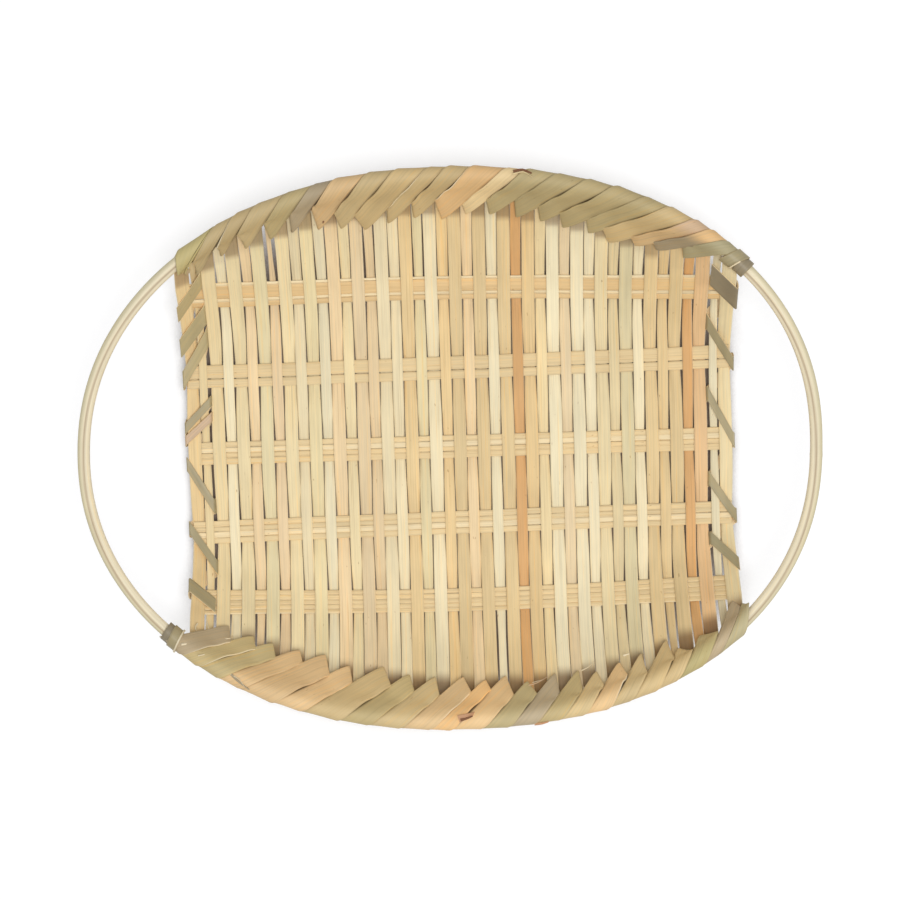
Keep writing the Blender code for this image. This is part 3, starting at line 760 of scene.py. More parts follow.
class Finish:
    """A material or a world being made, and the calls that add to its nodes."""

    def __init__(self, owner):
        self.material = owner
        owner.use_nodes = True
        self.tree = owner.node_tree
        self.shader = self.tree.nodes.get("Principled BSDF")

    def add(self, kind, inputs, output=0, **settings):
        node = self.tree.nodes.new(kind)
        for key, value in settings.items():
            setattr(node, key, value)
        for key, value in inputs.items():
            self.feed(node.inputs[key], value)
        return Wire(self, node.outputs[output])

    def feed(self, socket, value):
        if isinstance(value, Wire):
            self.tree.links.new(value.socket, socket)
        else:
            socket.default_value = value

    def at_point(self, name, output):
        settings = {"attribute_type": "GEOMETRY", "attribute_name": name}
        return self.add("ShaderNodeAttribute", {}, output, **settings)

    def cloud(self, fibre, pitches, detail=2.0, roughness=0.5):
        """Noise that changes so often in a metre along the strip, across it and from strip to
        strip."""
        inputs = {0: fibre, 1: pitches}
        place = self.add("ShaderNodeVectorMath", inputs, operation="MULTIPLY")
        return self.add("ShaderNodeTexNoise", {
            "Vector": place, "Scale": 1.0, "Detail": detail, "Roughness": roughness})

    def between(self, value, low, high):
        limits = {0: value, 1: low, 2: high}
        return self.add("ShaderNodeMapRange", limits, interpolation_type="SMOOTHSTEP")

    def scaled(self, colour, level):
        inputs = {0: colour, "Scale": level}
        return self.add("ShaderNodeVectorMath", inputs, operation="SCALE")

    def blended(self, factor, first, second, way="MIX"):
        inputs = {0: factor, 6: first, 7: second}
        return self.add("ShaderNodeMix", inputs, 2, data_type="RGBA", blend_type=way)

    def soaked(self, colour, stain):
        return self.blended(1.0, colour, (*stain, 1), "MULTIPLY")

    def looked_at(self):
        """1 for the rays that show a background, which are the camera's and those that gloss
        and glass send."""
        kinds = ("Camera", "Glossy", "Transmission")
        rays = [self.add("ShaderNodeLightPath", {}, f"Is {kind} Ray") for kind in kinds]
        return rays[0] + rays[1] + rays[2]

    def surfaced(self, shader, output="Material Output"):
        self.tree.links.new(shader.socket, self.tree.nodes[output].inputs["Surface"])

    def dressed(self, colour, gloss, roughness, height, strength, distance):
        """The material, once its shader has its colour, gloss, roughness and bumps."""
        bumps = self.add("ShaderNodeBump", {
            "Strength": strength, "Distance": distance, "Height": height})
        wanted = {"Base Color": colour, "Specular IOR Level": gloss,
                  "Roughness": roughness, "Normal": bumps}
        for name, value in wanted.items():
            self.feed(self.shader.inputs[name], value)
        return self.material


def split_bamboo(name, grain_depth, sheen_loss, pith_roughness, bark_roughness):
    """Split bamboo: fine fibres and broader streaks along the strip, soft patches, thin dark
    vessel lines, and a skin that is smoother than the pith."""
    finish = Finish(bpy.data.materials.new(name))
    fibre = finish.at_point("fibre", 1)
    tint = finish.at_point("tint", 0)
    skin = finish.at_point("skin", 2)
    grain = finish.cloud(fibre, (70, 5200, 23), 3.0, 0.6)
    streak = finish.cloud(fibre, (16, 1300, 41), 2.0, 0.55)
    patch = finish.cloud(fibre, (55, 160, 13))
    vessel = finish.between(finish.cloud(fibre, (24, 4200, 67), 1.0), 0.62, 0.74)
    depth = grain_depth * (1 - 0.45 * skin)
    level = 1 + depth * (grain - 0.5) + 0.42 * (streak - 0.5) + 0.26 * (patch - 0.5)
    body = finish.scaled(tint, level)
    warm = finish.soaked(body, (0.98, 0.84, 0.62))
    warmed = finish.blended(finish.between(streak, 0.52, 0.78) * 0.75, body, warm)
    dark = finish.soaked(warmed, (0.62, 0.48, 0.33))
    lined = finish.blended(vessel * (0.42 - 0.22 * skin), warmed, dark)
    speck = finish.between(finish.cloud(fibre, (330, 900, 19)), 0.72, 0.79)
    spotted = finish.soaked(warmed, (0.42, 0.28, 0.17))
    colour = finish.blended(speck * 0.55, lined, spotted)
    smooth = pith_roughness + (bark_roughness - pith_roughness) * skin
    height = grain * 0.6 + streak * 0.5 - vessel * 0.35
    return finish.dressed(colour, 0.30, smooth + sheen_loss * (grain - 0.5), height, 0.55, 0.00009)


def hoop_bamboo(name):
    """The bent rod: cream bamboo with long fibres, worn smooth, browner in its groove."""
    finish = Finish(bpy.data.materials.new(name))
    fibre = finish.at_point("fibre", 1)
    tint = finish.at_point("tint", 0)
    grain = finish.cloud(fibre, (40, 3600, 5), 3.0, 0.6)
    streak = finish.cloud(fibre, (11, 900, 3))
    wear = finish.cloud(fibre, (90, 300, 9), 3.0, 0.6)
    level = 1 + 0.20 * (grain - 0.5) + 0.40 * (streak - 0.5) + 0.20 * (wear - 0.5)
    body = finish.scaled(tint, level)
    scuffed = finish.soaked(body, (0.94, 0.80, 0.58))
    colour = finish.blended(finish.between(streak, 0.55, 0.8) * 0.7, body, scuffed)
    height = grain * 0.7 + wear * 0.5
    return finish.dressed(colour, 0.28, 0.60 + 0.16 * (wear - 0.5), height, 0.4, 0.00008)


WARP_FINISH = split_bamboo("split_bamboo_warp", 0.24, 0.12, 0.64, 0.58)
WEFT_FINISH = split_bamboo("split_bamboo_weft", 0.26, 0.12, 0.60, 0.46)
BINDING_FINISH = split_bamboo("dried_bamboo_skin", 0.24, 0.16, 0.55, 0.42)
HOOP_FINISH = hoop_bamboo("bent_bamboo_rod")

dice = random.Random(4117)


def varied(tint, amount):
    """A tint made a little lighter or darker, warmer or greener."""
    level = 1 + amount * dice.uniform(-1, 1)
    lean = 0.35 * amount * dice.uniform(-1, 1)
    return Vector((tint.x * (level + lean), tint.y * level, tint.z * (level - 1.4 * lean)))


# ---- Warps.

# The turned-down end of a band: how long it is, how unevenly it is cut, and how far on and how
# far down each of its bends lies.
FLAP_DEPTHS = (0.0009, 0.0014)
END_UNEVENNESS = 0.0003
FLAP_BENDS = ((0.30, 0.10), (0.62, 0.50), (0.80, 1.05))

# A warp wanders and changes its width in the tray, from a little inside the hoop and under its
# height on. It is fuller there, gives way where it passes under a cross band, and is wider
# again towards the hoop. The tapered ones taper from TAPER_START on.
WANDER = 0.00022
TRAY_START = 0.004
TRAY_FADE = 0.02
HOOP_MARGIN = 0.001
FULLER_SHARES = {True: 0.03, False: 0.055}
TUCK_SHARES = (0.07, 0.20)
TUCK_LENGTH = 0.0085
NEAR_HOOP_SHARE = 0.085
TAPER_START = 0.058
TAPER_LENGTH = 0.022

# The stain and painted shade beside the ends of the bands, where the warps come out from under
# them; partly real dirt and partly painted shade. How dark it is on wide and narrow warps and on
# the far and near side, where it starts, how far it reaches, and where it is all but gone.
STAIN_AND_SHADE_SHARES = {True: 0.60, False: 0.16}
SIDE_STAIN_AND_SHADE_SHARES = {1: 1.0, -1: 1.3}
STAIN_AND_SHADE_OVERLAP = 0.0026
STAIN_AND_SHADE_REACHES = {1: 0.0026, -1: 0.0058}
STAIN_AND_SHADE_LOSS = 0.85
STAIN_AND_SHADE_LOSS_START = 0.078
STAIN_AND_SHADE_LOSS_FADE = 0.012

# Where a band's start gives way to its own tint, and the painted shade on a band beside the next
# one, under its raised edge: how far across it lies, how dark it is, how much darker by a loose
# band, and the rows it leaves bare.
START_REACH = 0.001
START_FADE = 0.005
SEAM_EDGE_SHARE = 0.9
SEAM_DARKNESS = 0.30
LOOSE_DARKNESS = 0.75
BARE_END_ROWS = 3.8

# Splinters, and the share of the wrap's radius, in from the middle of the hoop's rod, up to which
# the faces of the bands follow its roundness.
SPLINTER_STAND = 0.0012
SPLINTER_LIFT = 0.0008
SPLINTER_THICKNESS = 0.0003
SPLINTER_TAPER_SHARE = 0.6
ON_HOOP_SHARE = 0.8


def warp_tint(number):
    if number in WARP_TINTS:
        return varied(WARP_TINTS[number], 0.02)
    choice = dice.choice((STRAW, STRAW, PALE, PALE, GREENISH, PINKISH, HONEY, HONEY))
    return varied(STRAW.lerp(choice, 0.8), 0.06)


def lapped(rows, side, index):
    """Lifts a band's left edge over the band before it, as shingles lie, from where the band
    comes up round the hoop."""
    rise = LAP_RISE * LOOSE_BANDS.get((side, index), 1)
    reach = LAP_REACH + LOOSE_REACH_SHARE * rise
    last = len(rows) - 1
    lifted = []
    for row, (left, right) in enumerate(rows):
        before, after = rows[max(row - 1, 0)], rows[min(row + 1, last)]
        ahead = after[0] + after[1] - before[0] - before[1]
        across = (right - left).normalized()
        outward = ahead.cross(across).normalized()
        share = ease((row - len(rows) + BAND_ROWS) / 2)
        lifted.append([left + (outward * rise - across * reach) * share, right])
    return lifted


def tucked(rows):
    """Adds the turned-down end of a band: a crease, then a short flap down to the wall. No two
    ends are cut quite alike."""
    depth = dice.uniform(*FLAP_DEPTHS)
    before = rows[-2]
    last = []
    for end, previous in zip(rows[-1], before):
        cut = dice.uniform(-END_UNEVENNESS, END_UNEVENNESS)
        last.append(end + (end - previous).normalized() * cut)
    across = (last[1] - last[0]).normalized()
    flap = [last]
    for reach, drop in FLAP_BENDS:
        row = []
        for end, previous in zip(last, before):
            ahead = (end - previous).normalized()
            down = across.cross(ahead).normalized()
            row.append(end + ahead * (depth * reach) + down * (depth * drop))
        flap.append(row)
    return rows[:-1] + flap


def wide_warp_rows(number, rims):
    index = (number - 1) // 2
    opposite = WIDE_WARPS - 1 - index
    upper = tucked(lapped(rims[0].tail(index), 1, index))
    lower = tucked(lapped(rims[1].tail(opposite), -1, opposite))
    near, far = (approach(number, side)[1] for side in (-1, 1))
    stations = near[::-1] + warp_crossings(number) + far
    return [row[::-1] for row in reversed(lower)] + tray_rows(number, stations) + upper


# Hair splinters, scars and broken skin that stand up from a warp's bands, and on warp 29 a dark
# sliver that is painted shade: it stands for a hole in the band. Each is drawn along pixels of the
# photograph, x and y in turn, and has its width and its tint. Where it isn't the usual one, its
# height over the bands comes last.
SPLINTERS = {
    1: (
        ((196, 624, 194, 628, 195, 631), 0.0006, SPLINTER),
        ((180, 645, 206, 642, 229, 638.5), 0.0008, EDGE_CREAM, 0.0024),
    ),
    3: (
        ((205, 622, 207, 628, 208, 632), 0.0005, SPLINTER),
        ((230, 650.5, 214, 653, 197, 656), 0.0010, EDGE_CREAM, 0.0024),
    ),
    7: (
        ((228, 673, 236, 681, 248, 690), 0.0011, BARK_GREY),
        ((229, 675, 238, 680, 243, 687), 0.0005, SPLINTER),
    ),
    15: (
        ((320, 203, 320, 206, 320.5, 209), 0.0011, SCAR_AND_HOLE_SHADE, 0.0017),
        ((321, 220.5, 322, 222, 321.5, 224), 0.0010, SCAR_AND_HOLE_SHADE, 0.0017),
    ),
    23: (
        ((457, 719.5, 466, 716.5, 475, 713), 0.0030, KNOT_PINK, 0.0020),
        ((459, 720.5, 465, 719, 471, 716.5), 0.0012, SCAR_AND_HOLE_SHADE, 0.0022),
    ),
    25: (
        ((496, 705, 505, 701, 513, 697), 0.0004, SPLINTER),
        ((507, 700, 509, 704, 512, 708), 0.0004, SPLINTER),
        ((503, 701, 505, 705, 508, 708), 0.0003, SPLINTER),
    ),
    27: (
        ((527, 686, 536, 683, 546, 677), 0.0005, LASHING_PINK),
        ((531, 683, 541, 680), 0.0003, SPLINTER),
    ),
    29: (
        # Painted shade: a dark sliver that stands for a hole in the band, beside its curled light
        # edge.
        ((512, 172.5, 521, 170.5, 530, 174), 0.0016, SCAR_AND_HOLE_SHADE, 0.0021),
        ((511, 174.5, 522, 172.5, 531, 178), 0.0006, BARK_CREAM, 0.0023),
    ),
    31: (((580, 671, 586, 668, 593, 661), 0.0005, SPLINTER),),
    33: (((533, 724.5, 540, 724, 547, 722), 0.0012, KNOT_PINK, 0.0017),),
    35: (((622, 656, 625, 655, 628, 654), 0.0008, EDGE_CREAM),),
    41: (((700, 642, 706, 638, 711, 634), 0.0006, SPLINTER),),
}


def band_top(place):
    """The height of the bands' upper faces over a place of the tray or the hoop."""
    side = sign_of(place.y)
    x = held(place.x)
    centre, normal = hoop_frame(side * x, side)
    inward = (centre.y - side * place.y) * normal.y
    if inward < WRAP_RADIUS * ON_HOOP_SHARE:
        return HOOP_HEIGHT + math.sqrt(max(0, WRAP_RADIUS ** 2 - inward ** 2))
    return tray_height(x, place.y) + TAIL_RISE / math.cos(wall_angle_at(x, side))


def on_wall(pixels, lift):
    """The place on the middle of a band's thickness, lifted by so much, at a pixel."""
    place = spot(*pixels, HOOP_HEIGHT)
    for _ in range(5):
        place = spot(*pixels, band_top(place) + lift)
    return place


def add_splinter(bench, pixels, width, tint, stand=SPLINTER_STAND):
    """A thin sliver, pointed at its far end, that stands a little off the bands there."""
    places = [on_wall(pixels[n:n + 2], stand) for n in range(0, len(pixels), 2)]
    last = len(places) - 1
    rows = []
    for index, place in enumerate(places):
        ahead = places[min(index + 1, last)] - places[max(index - 1, 0)]
        across = ahead.cross(Vector((0, 0, 1))).normalized()
        half = width / 2 * (1 - SPLINTER_TAPER_SHARE * index / last)
        lift = Vector((0, 0, SPLINTER_LIFT * index / last))
        rows.append((place + lift - across * half, place + lift + across * half))
    seed = width * 9000
    lay_strip(bench, drawn_finely(rows), SPLINTER_THICKNESS, tint, tint, seed, edge=tint)


def make_warp(number, rims):
    wide = is_wide(number)
    rows = wide_warp_rows(number, rims) if wide else narrow_warp_rows(number)
    drawn = drawn_finely(rows)
    seed = number * 0.731
    bands_over = [band for band in range(WEFT_COUNT) if not runs_over(number, band)]
    unders = [crossing_y(number, band) for band in bands_over]
    pith_base = warp_tint(number)
    index = (number - 1) // 2
    bands = {1: index, -1: WIDE_WARPS - 1 - index}
    # Painted light: the bark tints are lifted, most on the near rim.
    upper_bark = varied(FAR_BARKS[bands[1]] if wide else BARK_TAN, 0.05) * PAINTED_LIGHT_BARK_LIFTS[1]
    lower_bark = varied(NEAR_BARKS[bands[-1]] if wide else BARK_TAN, 0.05) * PAINTED_LIGHT_BARK_LIFTS[-1]
    tuck = dice.uniform(*TUCK_SHARES)
    in_tray = []
    for middle, _, along, _ in drawn:
        open_share = ease((inward_of(middle) - TRAY_START) / TRAY_FADE)
        in_tray.append(open_share if middle.z < HOOP_HEIGHT - HOOP_MARGIN else 0)
        middle.x += WANDER * drift(along * 28, seed * 9, 1.7) * in_tray[-1]

    def from_end(row):
        place = drawn[row][3]
        return min(place, len(rows) - 1 - place)

    def in_band(row):
        return wide and from_end(row) < BAND_ROWS + 2

    def widths(row, share):
        middle, _, along, _ = drawn[row]
        squeeze = max(math.exp(-((middle.y - y) / TUCK_LENGTH) ** 2) for y in unders)
        own = 0.04 * drift(along * 35, seed * 5, 4.4)
        at_rim = 0 if in_band(row) else NEAR_HOOP_SHARE * (1 - in_tray[row])
        width = 1 + (own + FULLER_SHARES[wide] - tuck * squeeze) * in_tray[row] + at_rim
        left_over = TAPERED_WARPS.get((number, sign_of(middle.y)), 1)
        return width * mix(1, left_over, ease((abs(middle.y) - TAPER_START) / TAPER_LENGTH))

    def pith(row, share):
        middle, _, along, _ = drawn[row]
        side = sign_of(middle.y)
        bands_end = BAND_DEPTH * (1 + BAND_DEPTH_SLOPE_SHARE * middle.x / HOOP_HALF_LENGTH * side)
        most = STAIN_AND_SHADE_SHARES[wide] * SIDE_STAIN_AND_SHADE_SHARES[side]
        most *= 1 - STAIN_AND_SHADE_LOSS * ease((middle.x * side - STAIN_AND_SHADE_LOSS_START) / STAIN_AND_SHADE_LOSS_FADE)
        inward = inward_of(middle)
        # Painted shade and stain: the warp turns brown towards where it goes under the ends of the
        # bands.
        stain_and_shade_share = most * (1 - ease((inward - bands_end + STAIN_AND_SHADE_OVERLAP) / STAIN_AND_SHADE_REACHES[side]))
        level = 1 + 0.06 * drift(along * 22, seed * 3, 8.8)
        return pith_base.lerp(STAIN_AND_SHADE, stain_and_shade_share) * level

    def bark(row, share, across):
        middle, _, along, _ = drawn[row]
        side = sign_of(middle.y)
        base = lower_bark.lerp(upper_bark, ease(share * 3 - 1))
        start = BAND_STARTS.get((side, bands[side]), base)
        level = 1 + 0.10 * drift(along * 55, seed * 3, 2.2)
        tint = start.lerp(base, ease((inward_of(middle) - START_REACH) / START_FADE)) * level
        # Painted shade: where the next band's raised edge lies over this one, the band is darkened
        # towards brown, more by a loose band.
        if in_band(row) and bands[side] < WIDE_WARPS - 1 and across * side > SEAM_EDGE_SHARE:
            looseness = LOOSE_BANDS.get((side, bands[side] + 1), 1)
            darkness = min(0.95, max(0, SEAM_DARKNESS + LOOSE_DARKNESS * (looseness - 1)))
            darkness *= ease((from_end(row) - BARE_END_ROWS) / 0.9)
            tint = tint.lerp(PAINTED_SEAM_SHADE, darkness)
        return tint

    def edge(row, share):
        if not in_band(row):
            return EDGE_CREAM.lerp(pith(row, share), EDGE_PITH_SHARE)
        side = sign_of(drawn[row][0].y)
        if (side, bands[side]) in PEELED_BANDS:
            return EDGE_CREAM
        # Painted shade: a band's side faces are a little darker, towards the seams' brown.
        return bark(row, share, 0).lerp(PAINTED_SEAM_SHADE, 0.14)

    bench = Bench()
    lay_strip(bench, drawn, WARP_THICKNESS, pith, bark, seed, widths, edge)
    for splinter in SPLINTERS.get(number, ()):
        add_splinter(bench, *splinter)
    name = f"warp_strip_{number:02d}"
    bench.finish(f"split_warp_{number:02d}", "warp", [name], WARP_FINISH)


# ---- Cross strips: each CAD strip is a bundle of thin splits laid edge to edge.

WEFT_SPLIT_SHARES = {
    "weft_1_upper": (0.17, 0.83),
    "weft_1_lower": (0.36, 0.64),
    "weft_2_upper": (1.0,),
    "weft_2_lower": (1.0,),
    "weft_3_upper": (0.5, 0.5),
    "weft_3_lower": (0.42, 0.58),
    "weft_4_upper": (0.55, 0.45),
    "weft_4_lower": (0.5, 0.5),
    "weft_5": (0.20, 0.22, 0.20, 0.20, 0.18),
}
SPLIT_TINTS = {
    ("weft_1_upper", 0): CROSS_PALE, ("weft_1_upper", 1): CROSS_GOLD,
    ("weft_1_lower", 0): CROSS_PALE, ("weft_1_lower", 1): CROSS_GOLD,
    ("weft_3_upper", 1): CROSS_PALE, ("weft_4_lower", 0): CROSS_PALE,
}
JOINED_WEFTS = (0, 2, 3)
JOINED_SHARE = 0.85
SPLIT_GAP = 0.00004
SPLIT_STEPS = 130
SPLIT_THICKNESS = 0.88 * WEFT_THICKNESS
SPLIT_CUP = 0.00006


def make_weft(band, name, top, bottom):
    """The splits of one CAD cross strip, from its upper edge down to its lower one."""
    bench = Bench()
    past_middle = WIDE_WARP_WIDTH / 2 - WEFT_SETBACK
    edge = top
    for number, share in enumerate(WEFT_SPLIT_SHARES[name]):
        low = edge - share * (top - bottom)
        rows = []
        seed = band * 3.1 + number * 0.77 + len(name) * 0.13
        for step in range(SPLIT_STEPS + 1):
            middle_x = mix(warp_x(1, 0), warp_x(WARP_COUNT, 0), step / SPLIT_STEPS)
            waver = 0.00018 * drift(step / 11, seed * 6, 0.9)
            row = []
            for place in (edge - SPLIT_GAP / 2 + waver, low + SPLIT_GAP / 2 + waver):
                y = weft_y(band, middle_x) + place
                ends = 0.0006 * drift(seed, place * 900, 5.5)
                left = warp_x(1, y) - past_middle + ends
                right = warp_x(WARP_COUNT, y) + past_middle + ends
                row.append(tray_point(mix(left, right, step / SPLIT_STEPS), y, 0))
            rows.append(row)
        tint = varied(SPLIT_TINTS.get((name, number), CROSS_TAN), 0.04)

        def pith(row, share, tint=tint, seed=seed):
            return tint * (1 + 0.06 * drift(share * 9, seed * 4, 3.3))

        drawn = drawn_finely(rows, 0.003)
        lay_strip(bench, drawn, SPLIT_THICKNESS, pith, BARK_TAN, seed, cup=SPLIT_CUP)
        edge = low
    bench.finish("cross_split_" + name[5:], "weft", [name], WEFT_FINISH)


def make_wefts():
    for band, (upper, lower) in enumerate(zip(UPPER_WEFT_WIDTHS, LOWER_WEFT_WIDTHS)):
        half = weft_width(band) / 2
        name = f"weft_{band + 1}"
        make_weft(band, name + "_upper" if lower else name, half, half - upper)
        if lower:
            joined = CLEARANCE * JOINED_SHARE if band in JOINED_WEFTS else 0
            make_weft(band, name + "_lower", -half + lower + joined, -half)


# ---- Edge lashings.

# Each turn: where it starts and ends, counted in wefts from the first one, its breadth along
# the warps, and its tint.
LEFT_WINDINGS = (
    (0.19, -0.215, 0.0058, LASHING_TAN), (0.60, 0.20, 0.0078, LASHING_TAN),
    (1.02, 0.50, 0.0080, LASHING_TAN), (1.66, 1.33, 0.0044, LASHING_OLIVE),
    (1.82, 1.53, 0.0040, LASHING_PINK), (2.14, 2.66, 0.0062, LASHING_OLIVE),
    (2.95, 3.51, 0.0060, LASHING_OLIVE), (3.80, 4.10, 0.0056, LASHING_OLIVE),
)
RIGHT_WINDINGS = (
    (-0.23, 0.12, 0.0082, LASHING_GREY), (0.48, 1.07, 0.0062, LASHING_OLIVE),
    (1.46, 2.02, 0.0062, LASHING_OLIVE), (2.55, 3.04, 0.0060, LASHING_OLIVE),
    (3.37, 3.73, 0.0056, LASHING_OLIVE),
)
LASHING_STATIONS = (0, 0.04, 0.25, 0.5, 0.75, 0.96, 1)


def make_lashing(side, windings, outer_warp, slot_warp, out, seed):
    """The turns of a lashing in one strip: over the top, down through the slot or round the
    edge, and back underneath to the next turn."""
    rows = []
    tints = []

    def slot_x(y):
        return warp_x(slot_warp, y) + out * (WIDE_WARP_WIDTH / 2 + LASHING_SLOT / 2)

    def edge_x(y):
        past_middle = WIDE_WARP_WIDTH / 2 + CLEARANCE + LASHING_THICKNESS / 2
        return warp_x(outer_warp, y) + out * past_middle

    def run(first_x, last_x, first_y, last_y, offset):
        for share in LASHING_STATIONS:
            row = []
            for shift in (-breadth / 2, breadth / 2):
                y = mix(first_y, last_y, share) + shift
                row.append(tray_point(mix(first_x(y), last_x(y), share), y, offset))
            rows.append(row)
            tints.append(shown)

    def bark(row, share, across):
        return tints[round(drawn[row][3])] * (1 + 0.14 * drift(share * 38, seed, 0.4))

    middle_x = TRAY_OFFSET + out * (TRAY_WIDTH / 2 - WIDE_WARP_WIDTH)
    left, right = (edge_x, slot_x) if out < 0 else (slot_x, edge_x)
    for number, (start_share, end_share, breadth, tint) in enumerate(windings, 1):
        shown = varied(tint, 0.06)
        end = between_wefts(end_share, middle_x)
        run(left, right, between_wefts(start_share, middle_x), end, LASHING_OFFSET)
        if number < len(windings):
            run(right, left, end, between_wefts(windings[number][0], middle_x), -LASHING_OFFSET)
    drawn = drawn_finely(rows)
    bench = Bench()
    lay_strip(bench, drawn, LASHING_THICKNESS, PINKISH, bark, seed, edge=BARK_CREAM)
    bench.finish(f"wound_lashing_{side}", "binding", [f"edge_lashing_{side}"], BINDING_FINISH)


# ---- Corner ties.

# Each turn of a cuff: where it starts along the hoop, how far it stands off, how much further
# along it is outside the hoop than inside, its breadth, the angles that it runs between, its tint.
TIE_TURNS = {
    1: (
        (0.0002, 0.0002, 0.0000, 0.0038, (-130, 228), LASHING_GREY),
        (-0.0034, 0.0008, 0.0015, 0.0040, (-130, 228), LASHING_OLIVE),
        (0.0003, 0.0014, 0.0012, 0.0005, (90, 170), SPLINTER),
    ),
    -1: (
        (0.0006, 0.0002, -0.0004, 0.0026, (-130, 228), LASHING_GREY),
        (-0.0024, 0.0008, -0.0008, 0.0034, (-130, 228), LASHING_OLIVE),
        (-0.0025, 0.0014, -0.0008, 0.0006, (20, 200), SPLINTER),
    ),
}
TIE_SHIFT = 0.0012
TIE_STEPS = 30
TIE_THICKNESS = 0.0005
TURN_GROWTH = 0.0001


def make_tie(rim, name, node):
    """The cuff wound round the hoop over the end of the last band: two turns of a strip that
    lean against each other, and a line of light skin peeled up from the outer one."""
    bench = Bench()
    low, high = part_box(node)
    start = (low.x if rim.side > 0 else -high.x) + TIE_SHIFT
    for turn, (shift, rise, lean, breadth, angles, tint) in enumerate(TIE_TURNS[rim.side]):
        rows = []
        first, last = math.radians(angles[0]), math.radians(angles[1])
        for step in range(TIE_STEPS + 1):
            angle = mix(first, last, step / TIE_STEPS)
            slide = start + (shift + lean * math.cos(angle))
            grown = WRAP_RADIUS + rise + TURN_GROWTH * step / TIE_STEPS
            places = (slide, slide + breadth)
            rows.append([rim.to_world(rim.hoop_point(x, angle, grown)) for x in places])
        seed = 61.3 + turn * 5 + rim.side
        shown = varied(tint, 0.06)
        lay_strip(bench, drawn_finely(rows), TIE_THICKNESS, shown, shown, seed, edge=BARK_TAN)
    bench.finish(name, "binding", [node], BINDING_FINISH)


# ---- Hoop: a rod with a groove, a flat that twists slowly along it, and rings at its knots.

HOOP_KNOT_PIXELS = ((163, 325), (775, 335), (812, 455), (806, 485))
HOOP_JOINT = math.radians(-75)
HOOP_JOINT_GAP = 0.0004
HOOP_SAMPLES = 3000
HOOP_STATIONS = 460
HOOP_CORNERS = 30
FLAT_TURN = math.radians(118)
FLAT_SHARE = 0.05
GROOVE_SHARE = 0.075
SWELL_SHARE = 0.10
RING_REACHES = (0.0011, 0.0004)


def hoop_centre(angle):
    power = 2 / squareness(math.cos(angle))
    x = math.copysign(abs(math.cos(angle)) ** power, math.cos(angle)) * HOOP_HALF_LENGTH
    y = math.copysign(abs(math.sin(angle)) ** power, math.sin(angle)) * HOOP_HALF_WIDTH
    return Vector((x, y + HOOP_SLANT_SHARE * x, HOOP_HEIGHT))


def hump(angle, breadth):
    """1 at no angle, and less the further an angle is turned either way."""
    turned = math.atan2(math.sin(angle), math.cos(angle))
    return math.exp(-(turned / breadth) ** 2)


def make_hoop():
    bench = Bench()
    opening = HOOP_JOINT_GAP / HOOP_HALF_LENGTH
    whole_turn = 2 * math.pi - opening
    rough = [
        hoop_centre(HOOP_JOINT + opening / 2 + whole_turn * sample / HOOP_SAMPLES)
        for sample in range(HOOP_SAMPLES + 1)
    ]
    lengths = [0.0]
    for first, second in zip(rough, rough[1:]):
        lengths.append(lengths[-1] + (second - first).length)
    knots = [spot(*pixels, HOOP_HEIGHT) for pixels in HOOP_KNOT_PIXELS]
    index = 0
    for station in range(HOOP_STATIONS + 1):
        along = lengths[-1] * station / HOOP_STATIONS
        while index < HOOP_SAMPLES - 1 and lengths[index + 1] < along:
            index += 1
        share = (along - lengths[index]) / (lengths[index + 1] - lengths[index])
        centre = rough[index].lerp(rough[index + 1], share)
        ahead = (rough[min(index + 3, HOOP_SAMPLES)] - rough[max(index - 2, 0)]).normalized()
        out = Vector((ahead.y, -ahead.x, 0))
        ring_swell, ring_mark = (
            max(math.exp(-((centre - knot).length / reach) ** 2) for knot in knots)
            for reach in RING_REACHES
        )
        girth = 1 + 0.035 * drift(along * 25, 3.1, 0.2)
        twist = 0.25 * drift(along * 4, 7.7, 1.2)
        groove_turn = math.radians(100 + 38 * centre.y / HOOP_HALF_WIDTH)
        for corner in range(HOOP_CORNERS):
            angle = 2 * math.pi * corner / HOOP_CORNERS
            flat = FLAT_SHARE * hump(angle - FLAT_TURN - twist, 0.5)
            groove = hump(angle - groove_turn - twist, 0.19)
            swell = 1 - flat - GROOVE_SHARE * groove + SWELL_SHARE * ring_swell
            radius = HOOP_ROD_RADIUS * girth * swell
            rise = Vector((0, 0, radius * math.sin(angle)))
            point = centre + out * (radius * math.cos(angle)) + rise
            outer = ease((math.cos(angle) + 0.2) / 1.2)
            tint = HANDLE_CREAM.lerp(HANDLE_GREEN, outer)
            tint = tint.lerp(NODE_BROWN, min(1, 0.62 * groove + 0.55 * ring_mark))
            bench.add_point(point, (along, HOOP_ROD_RADIUS * angle, 2.0), 1.0, tint)
    bench.loft(0, HOOP_STATIONS + 1, HOOP_CORNERS)
    bench.finish("bent_hoop", "hoop", ["hoop_rod"], HOOP_FINISH)


# ---- Floor, light and camera.

FLOOR_HALF_SIZE = 3.0
FLOOR_DROP = 0.0003
FLOOR_WHITE = (0.8, 0.8, 0.8)
SEEN_FLOOR = (0.36, 0.36, 0.37)
SEEN_SHADE = (0.25, 0.20, 0.17)
SEEN_GLOW = 0.72
SHADOW_REACH = 0.05
OPEN_SKY = (0.38, 0.70)
WORLD_LIGHT = 0.40
LAMP_PLACE = (0.14, -0.18, 1.40)
LAMP_SIZE = 0.6
LAMP_WATTS = 12.2
CAMERA_SHIFT = -0.0008


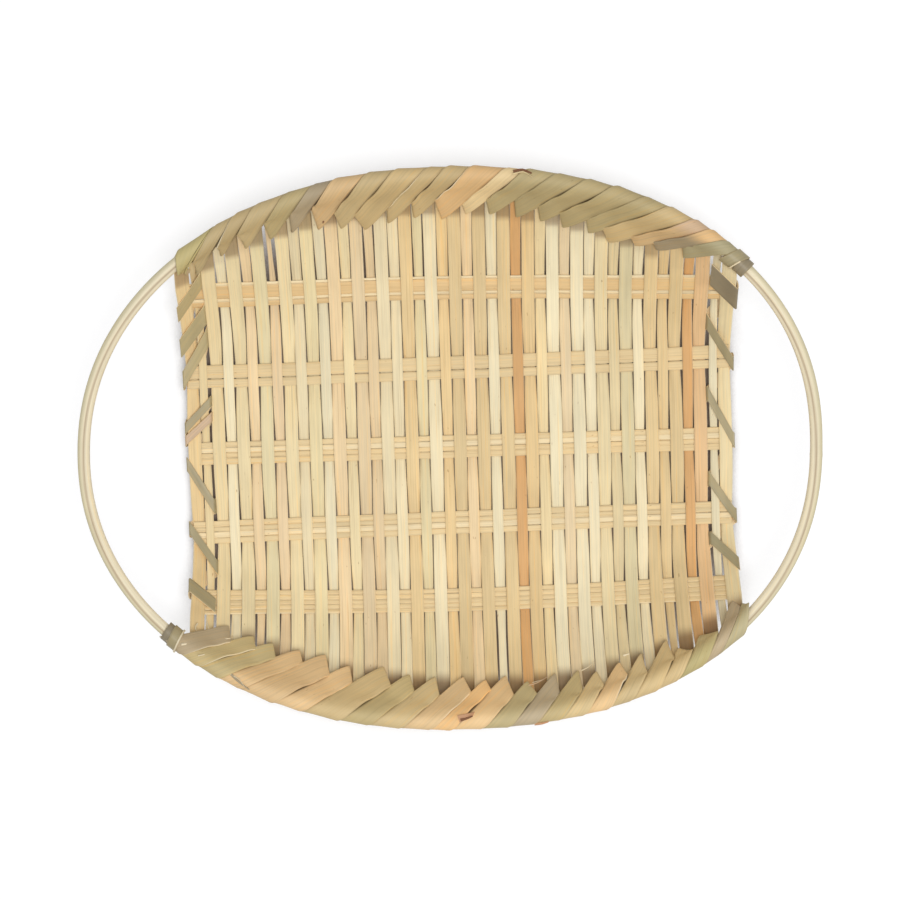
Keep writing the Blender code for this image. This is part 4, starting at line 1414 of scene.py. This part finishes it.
def make_floor():
    """A pale floor. The rays that show it see it glow, but for where the basket shades it."""
    mesh = bpy.data.meshes.new("floor")
    size = FLOOR_HALF_SIZE
    corners = [(-size, -size, 0), (size, -size, 0), (size, size, 0), (-size, size, 0)]
    mesh.from_pydata(corners, [], [(0, 1, 2, 3)])
    floor = placed("floor", mesh)
    floor.location.z = -FLOOR_DROP
    finish = Finish(bpy.data.materials.new("pale_floor"))
    plain, seen_plain, shade = (
        finish.add("ShaderNodeBsdfDiffuse", {"Color": (*colour, 1)})
        for colour in (FLOOR_WHITE, SEEN_FLOOR, SEEN_SHADE)
    )
    glow = finish.add("ShaderNodeEmission", {"Color": (1, 1, 1, 1), "Strength": SEEN_GLOW})
    lit = finish.add("ShaderNodeAddShader", {0: seen_plain, 1: glow})
    inputs = {"Distance": SHADOW_REACH}
    sky = finish.add("ShaderNodeAmbientOcclusion", inputs, 1, samples=16, only_local=False)
    open_sky = finish.between(sky, *OPEN_SKY)
    seen = finish.add("ShaderNodeMixShader", {0: open_sky, 1: shade, 2: lit})
    both = finish.add("ShaderNodeMixShader", {0: finish.looked_at(), 1: plain, 2: seen})
    finish.surfaced(both)
    finish.tree.nodes.remove(finish.shader)
    mesh.materials.append(finish.material)


def add_lamp(name, place, size, watts):
    lamp = bpy.data.lights.new(name, "AREA")
    lamp.shape = "DISK"
    lamp.size = size
    lamp.energy = watts
    thing = placed(name, lamp)
    thing.location = place
    thing.rotation_euler = (-Vector(place)).to_track_quat("-Z", "Y").to_euler()


def make_light_and_camera():
    world = bpy.data.worlds.new("studio")
    sky = Finish(world)
    lighting, shown = (
        sky.add("ShaderNodeBackground", {"Color": (1, 1, 1, 1), "Strength": strength})
        for strength in (WORLD_LIGHT, 1.0)
    )
    both = sky.add("ShaderNodeMixShader", {0: sky.looked_at(), 1: lighting, 2: shown})
    sky.surfaced(both, "World Output")
    bpy.context.scene.world = world
    add_lamp("soft_box", LAMP_PLACE, LAMP_SIZE, LAMP_WATTS)
    lens = bpy.data.cameras.new("camera")
    lens.lens = SENSOR_WIDTH * SCALE_DISTANCE / VIEW_WIDTH
    lens.sensor_width = SENSOR_WIDTH
    lens.dof.use_dof = False
    camera = placed("camera", lens)
    camera.location = (0, CAMERA_SHIFT, CAMERA_HEIGHT)
    bpy.context.scene.camera = camera
    bpy.context.scene.view_settings.view_transform = "Standard"


def build():
    rims = (Rim(1), Rim(-1))
    make_hoop()
    for number in range(1, WARP_COUNT + 1):
        make_warp(number, rims)
    make_wefts()
    make_lashing("left", LEFT_WINDINGS, 1, 3, -1, 31.7)
    make_lashing("right", RIGHT_WINDINGS, WARP_COUNT, WARP_COUNT - 2, 1, 47.3)
    make_tie(rims[0], "wound_tie_right", "corner_tie_right")
    make_tie(rims[1], "wound_tie_left", "corner_tie_left")
    make_floor()
    make_light_and_camera()


build()
